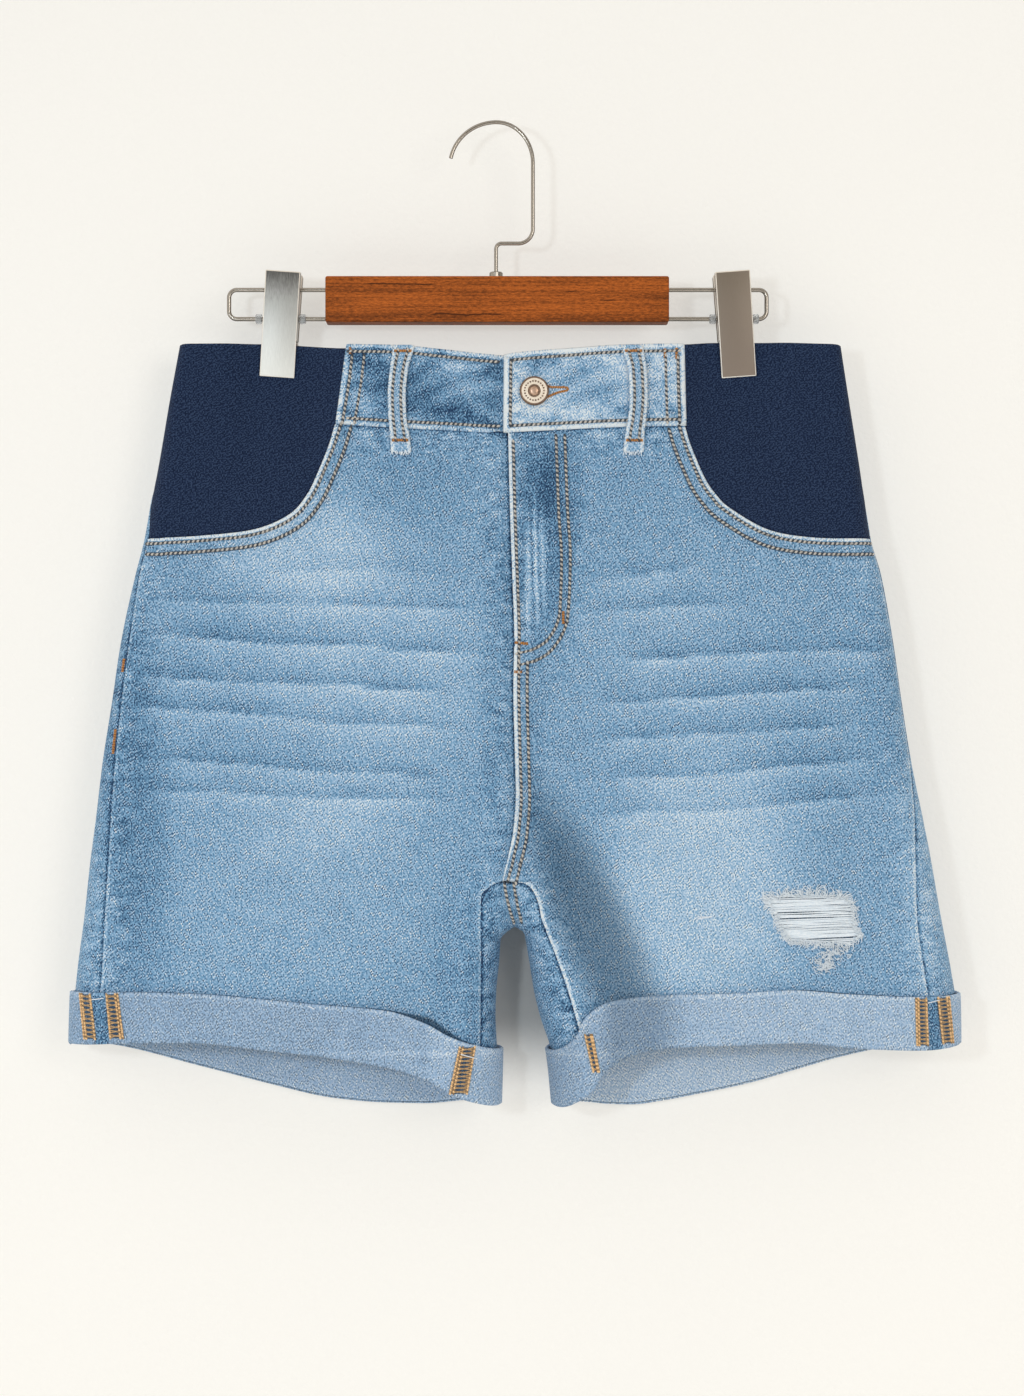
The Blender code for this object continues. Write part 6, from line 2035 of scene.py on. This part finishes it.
class SHORTS_OT_button(Builder, bpy.types.Operator):
    """Turn the jeans button, with a ring of plain dots on its flange"""
    bl_idname = "shorts.button"
    bl_label = "Button"

    def execute(self, context):
        copper = tuple(context.scene.shorts_hanger.copper)
        rim = metal_finish("button_copper", copper, 0.38, (0.4, 0.4, 0.4), 0.3)
        dark = metal_finish("button_shade", shade(copper, 0.4), 0.5, (0.4, 0.4, 0.4), 0.3)
        flange = metal_finish("button_flange", (0.76, 0.67, 0.565), 0.5, (0.5, 0.5, 0.5), 0.2)
        centre = np.array((21.9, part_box("button")[1][1] / MM, -156.9))
        piece = turned_mesh("button_turned", BUTTON_PROFILE, 64, centre, rim)
        piece.data.materials.append(flange)
        piece.data.materials.append(dark)
        for face in piece.data.polygons:
            away = math.hypot(face.center[0] / MM - centre[0], face.center[2] / MM - centre[2])
            face.material_index = 1 if 3.6 < away < 7.3 else 2 if away > 7.3 or 2.6 < away else 0
        keep(tidy_mesh(piece, 60.0), "button_metal", "button")
        angles = np.linspace(0.0, 2 * math.pi, 22, endpoint=False)
        dots = [centre + np.array((5.6 * math.cos(a), -2.86, 5.6 * math.sin(a))) for a in angles]
        paths = [np.array((dot, dot + (0.0, 0.04, 0.0))) for dot in dots]
        values = {"Pitch": 1.0, "Length": 0.0011, "Thickness": 0.0011, "Lean": 0.0, "Across": 0.0,
                  "Seed": 1, "Finish": dark}
        keep(along_paths("button_dots", paths, bpy.data.node_groups["Stitch rows"], values),
             "button_metal")
        return {"FINISHED"}


HOOK_RADIUS = 1.15
WIRE_RADIUS = 1.25


def bend(centre, radius, start, end, steps):
    """Points of an arc in the plane of the hanger, angles in degrees."""
    angle = np.radians(np.linspace(start, end, steps + 1))
    return pairs(centre[0] + radius * np.cos(angle), centre[1] + radius * np.sin(angle))


def hook_route():
    """Middle line of the hook and its stepped stem."""
    a = np.radians(79.0 * (1 - np.arange(30) / 30))
    left = pairs(-27.2 * np.sin(a), HOOK_RADIUS - 26.0 * (1 - np.cos(a)))
    a = np.radians(90.0 * np.arange(30) / 29)
    right = pairs(21.2 * np.sin(a), HOOK_RADIUS - 24.0 * (1 - np.cos(a)))
    shelf = bend((12.7, -61.1), 8.5, 0.0, -90.0, 14)
    stem = bend((2.9, -72.8), 3.2, 90.0, 180.0, 8)
    return np.concatenate((left, right, shelf, stem, [(-0.3, -97.0)]))


def end_loop_route(turn):
    """Middle line of the wire loop at one end of the bar."""
    end = {-1: -156.0, 1: 157.5}[turn] - turn * 4.5
    inside = 0.4 + turn * 88.85
    side, foot = (0.0, -90.0) if turn > 0 else (180.0, 270.0)
    bends = bend((end, -101.2), 4.5, 90.0, side, 14), bend((end, -109.2), 4.5, side, foot, 14)
    return np.concatenate(([(inside, -96.7)], *bends, [(inside, -113.7)]))


def round_wire(name, route, radius, finish):
    """Round wire with closed ends along a route in the hanger's plane."""
    curve = bpy.data.curves.new(name, "CURVE")
    curve.dimensions = "3D"
    curve.bevel_depth = radius * MM
    curve.bevel_resolution = 5
    curve.use_fill_caps = True
    spline = curve.splines.new("POLY")
    spline.points.add(len(route) - 1)
    for point, (x, z) in zip(spline.points, route):
        point.co = (x * MM, 0.0, z * MM, 1.0)
    made = plain_mesh(name, placed(name + "_line", curve))
    made.data.materials.clear()
    made.data.materials.append(finish)
    return tidy_mesh(made, 50.0)


class SHORTS_OT_hanger(Builder, bpy.types.Operator):
    """Finish the hanger: wires, bar, ferrule, clips and sleeves"""
    bl_idname = "shorts.hanger"
    bl_label = "Clip hanger"

    def execute(self, context):
        hanger = context.scene.shorts_hanger
        steel = tuple(hanger.steel)
        wire = metal_finish("warm_wire", shade(steel, 0.85), 0.24, (0.3, 0.3, 0.3), 0.12, 1.0)
        keep(round_wire("hook_wire", hook_route(), HOOK_RADIUS, wire), "steel", "hook")
        for turn, part in ((-1, "right"), (1, "left")):
            loop = round_wire("end_loop_" + part, end_loop_route(turn), WIRE_RADIUS, wire)
            keep(loop, "steel", "frame_wire_" + part)
        finishes = {"bar": wood_finish(hanger), "ferrule": wire}
        clear = plastic_finish()
        # Painted light on the clips: a painted highlight on the rounded edges, a painted reflection
        # down the lit clip, and a shaded copy for the others.
        edge_highlight = clip_finish("clip_edge_highlight", (0.72, 0.66, 0.58), (0.80, 0.78, 0.74))
        left_lit = clip_finish("clip_painted_reflection", (0.095, 0.092, 0.088), (0.75, 0.76, 0.735))
        shaded = clip_finish("clip_shaded", (0.18, 0.147, 0.113), (0.24, 0.196, 0.163))
        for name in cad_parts:
            if name.startswith("clip_"):
                lit = left_lit if name == "clip_right_front" else shaded
                keep(softened(name, 0.55, lit, edge_highlight), "steel", name)
            if name.startswith("stopper_"):
                finishes[name] = clear
        for name, finish in finishes.items():
            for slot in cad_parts[name].material_slots:
                slot.material = finish
        return {"FINISHED"}


def plaster_finish(stage):
    """Warm white plaster that glows by itself, painted light that lifts the shadows on it,
    but not behind the gap between the legs, which keeps a painted shadow.

    It has a fine orange-peel skin and is seen through from behind.
    """
    made = Finish("plaster", roughness=0.85, Specular_IOR_Level=0.2)
    colour = tuple(stage.wall_colour)
    cloud = made.total(made.noise((0.004, 0.004, 0.004)), 0.5)
    made.colour(made.ramp(cloud, (0.2, shade(colour, 0.97)), (0.8, colour)))
    made.bump(made.noise((0.28, 0.28, 0.28), 3.0, 0.55), 0.0012, 0.35)
    # Painted light and shadow: the wall glows all over but behind the gap between the legs.
    x, _, z = made.axes()
    aside = made.math("ABSOLUTE", made.total(x, -14.0))
    gap_shadow_mask = made.times(made.fade(z, -452.0, -440.0), made.fade(z, -522.0, -572.0),
                      made.fade(aside, 17.0, 25.0))
    glow = made.times(made.math("SUBTRACT", 1.0, gap_shadow_mask), stage.wall_glow)
    made.links.new(glow, made.shader.inputs["Emission Strength"])
    made.shader.inputs["Emission Color"].default_value = (0.94, 0.925, 0.88, 1.0)
    clear = made.add("ShaderNodeBsdfTransparent")
    facing = made.add("ShaderNodeNewGeometry").outputs["Backfacing"]
    both = made.add("ShaderNodeMixShader", {0: facing, 1: made.shader.outputs[0],
                                            2: clear.outputs[0]})
    made.links.new(both.outputs[0], made.nodes["Material Output"].inputs["Surface"])
    return made.material


def flat_board(name, corners, finish):
    """One flat face of the stage."""
    mesh = bpy.data.meshes.new(name)
    mesh.from_pydata(corners, [], [(0, 1, 2, 3)])
    mesh.materials.append(finish)
    placed(name, mesh)


def soft_light(name, place, aim, size, power, colour):
    """Large soft light at a place, turned to what it lights."""
    data = bpy.data.lights.new(name, "AREA")
    data.shape, data.size, data.energy, data.color = "DISK", size, power, colour
    lamp = placed(name, data)
    lamp.location = place
    lamp.rotation_euler = (Vector(aim) - Vector(place)).to_track_quat("-Z", "Y").to_euler()


class SHORTS_OT_stage(Builder, bpy.types.Operator):
    """Set the wall, the floor, the lights and the camera"""
    bl_idname = "shorts.stage"
    bl_label = "Stage"

    def execute(self, context):
        stage = context.scene.shorts_stage
        gap, floor = stage.wall_gap, stage.floor_height
        plaster = plaster_finish(stage)
        flat_board("wall", [(-2.2, gap, floor), (2.2, gap, floor), (2.2, gap, 1.6),
                            (-2.2, gap, 1.6)], plaster)
        flat_board("floor", [(-2.2, -1.5, floor), (2.2, -1.5, floor), (2.2, gap, floor),
                             (-2.2, gap, floor)], plaster)
        aim = (0.009, 0.0, -0.3347)
        soft_light("key_light", (-0.53, -1.42, -0.18), aim, 0.14, stage.key_power,
                   (0.84, 0.93, 1.0))
        soft_light("fill_light", (1.25, -2.3, 0.1), aim, 1.2, stage.fill_power, (1.0, 0.96, 0.90))
        world = bpy.data.worlds.new("studio")
        world.use_nodes = True
        made = Nodes(world.node_tree)
        background = made.nodes["Background"]
        background.inputs["Color"].default_value = (1.0, 0.95, 0.87, 1.0)
        around = made.add("ShaderNodeTexCoord").outputs["Generated"]
        heading = made.add("ShaderNodeVectorMath", {0: around, 1: (-0.40, 0.80, 0.45)},
                           operation="DOT_PRODUCT").outputs["Value"]
        level = made.add("ShaderNodeMapRange", {"Value": heading, "From Min": -1.0, "To Min": 0.0,
                                                "To Max": 2.05}).outputs["Result"]
        made.links.new(level, background.inputs["Strength"])
        context.scene.world = world
        context.scene.view_settings.view_transform = "Standard"
        data = bpy.data.cameras.new("camera")
        data.sensor_width = SENSOR
        data.lens = SENSOR * stage.camera_distance / (VIEW_HEIGHT * MM)
        camera = placed("camera", data)
        camera.location = (aim[0], -stage.camera_distance - 0.008, aim[2])
        camera.rotation_euler = (math.pi / 2, 0.0, 0.0)
        context.scene.camera = camera
        return {"FINISHED"}


OPERATORS = (SHORTS_OT_stage, SHORTS_OT_fronts, SHORTS_OT_backs, SHORTS_OT_knit,
             SHORTS_OT_waistband, SHORTS_OT_cuffs, SHORTS_OT_sewing, SHORTS_OT_rip,
             SHORTS_OT_button, SHORTS_OT_hanger)


class SHORTS_PT_panel(bpy.types.Panel):
    """Pieces of the shorts and their settings"""
    bl_idname = "SHORTS_PT_panel"
    bl_label = "Denim shorts"
    bl_space_type = "VIEW_3D"
    bl_region_type = "UI"
    bl_category = "Shorts"

    def draw(self, context):
        """List each piece's button, then the settings of each group."""
        for operator in OPERATORS:
            self.layout.operator(operator.bl_idname)
        for name in SETTINGS:
            box = self.layout.box()
            group = getattr(context.scene, name)
            for setting in group.__annotations__:
                box.prop(group, setting)


def register():
    """Register the settings, the operators and the panel."""
    for name, group in SETTINGS.items():
        bpy.utils.register_class(group)
        setattr(bpy.types.Scene, name, PointerProperty(type=group))
    for kind in OPERATORS + (SHORTS_PT_panel,):
        bpy.utils.register_class(kind)


def unregister():
    """Take the settings, the operators and the panel away again."""
    for kind in (SHORTS_PT_panel,) + OPERATORS[::-1]:
        bpy.utils.unregister_class(kind)
    for name, group in SETTINGS.items():
        delattr(bpy.types.Scene, name)
        bpy.utils.unregister_class(group)


def main():
    """Build every piece in order."""
    register()
    for operator in OPERATORS:
        group, name = operator.bl_idname.split(".")
        getattr(getattr(bpy.ops, group), name)()


if __name__ == "__main__":
    main()
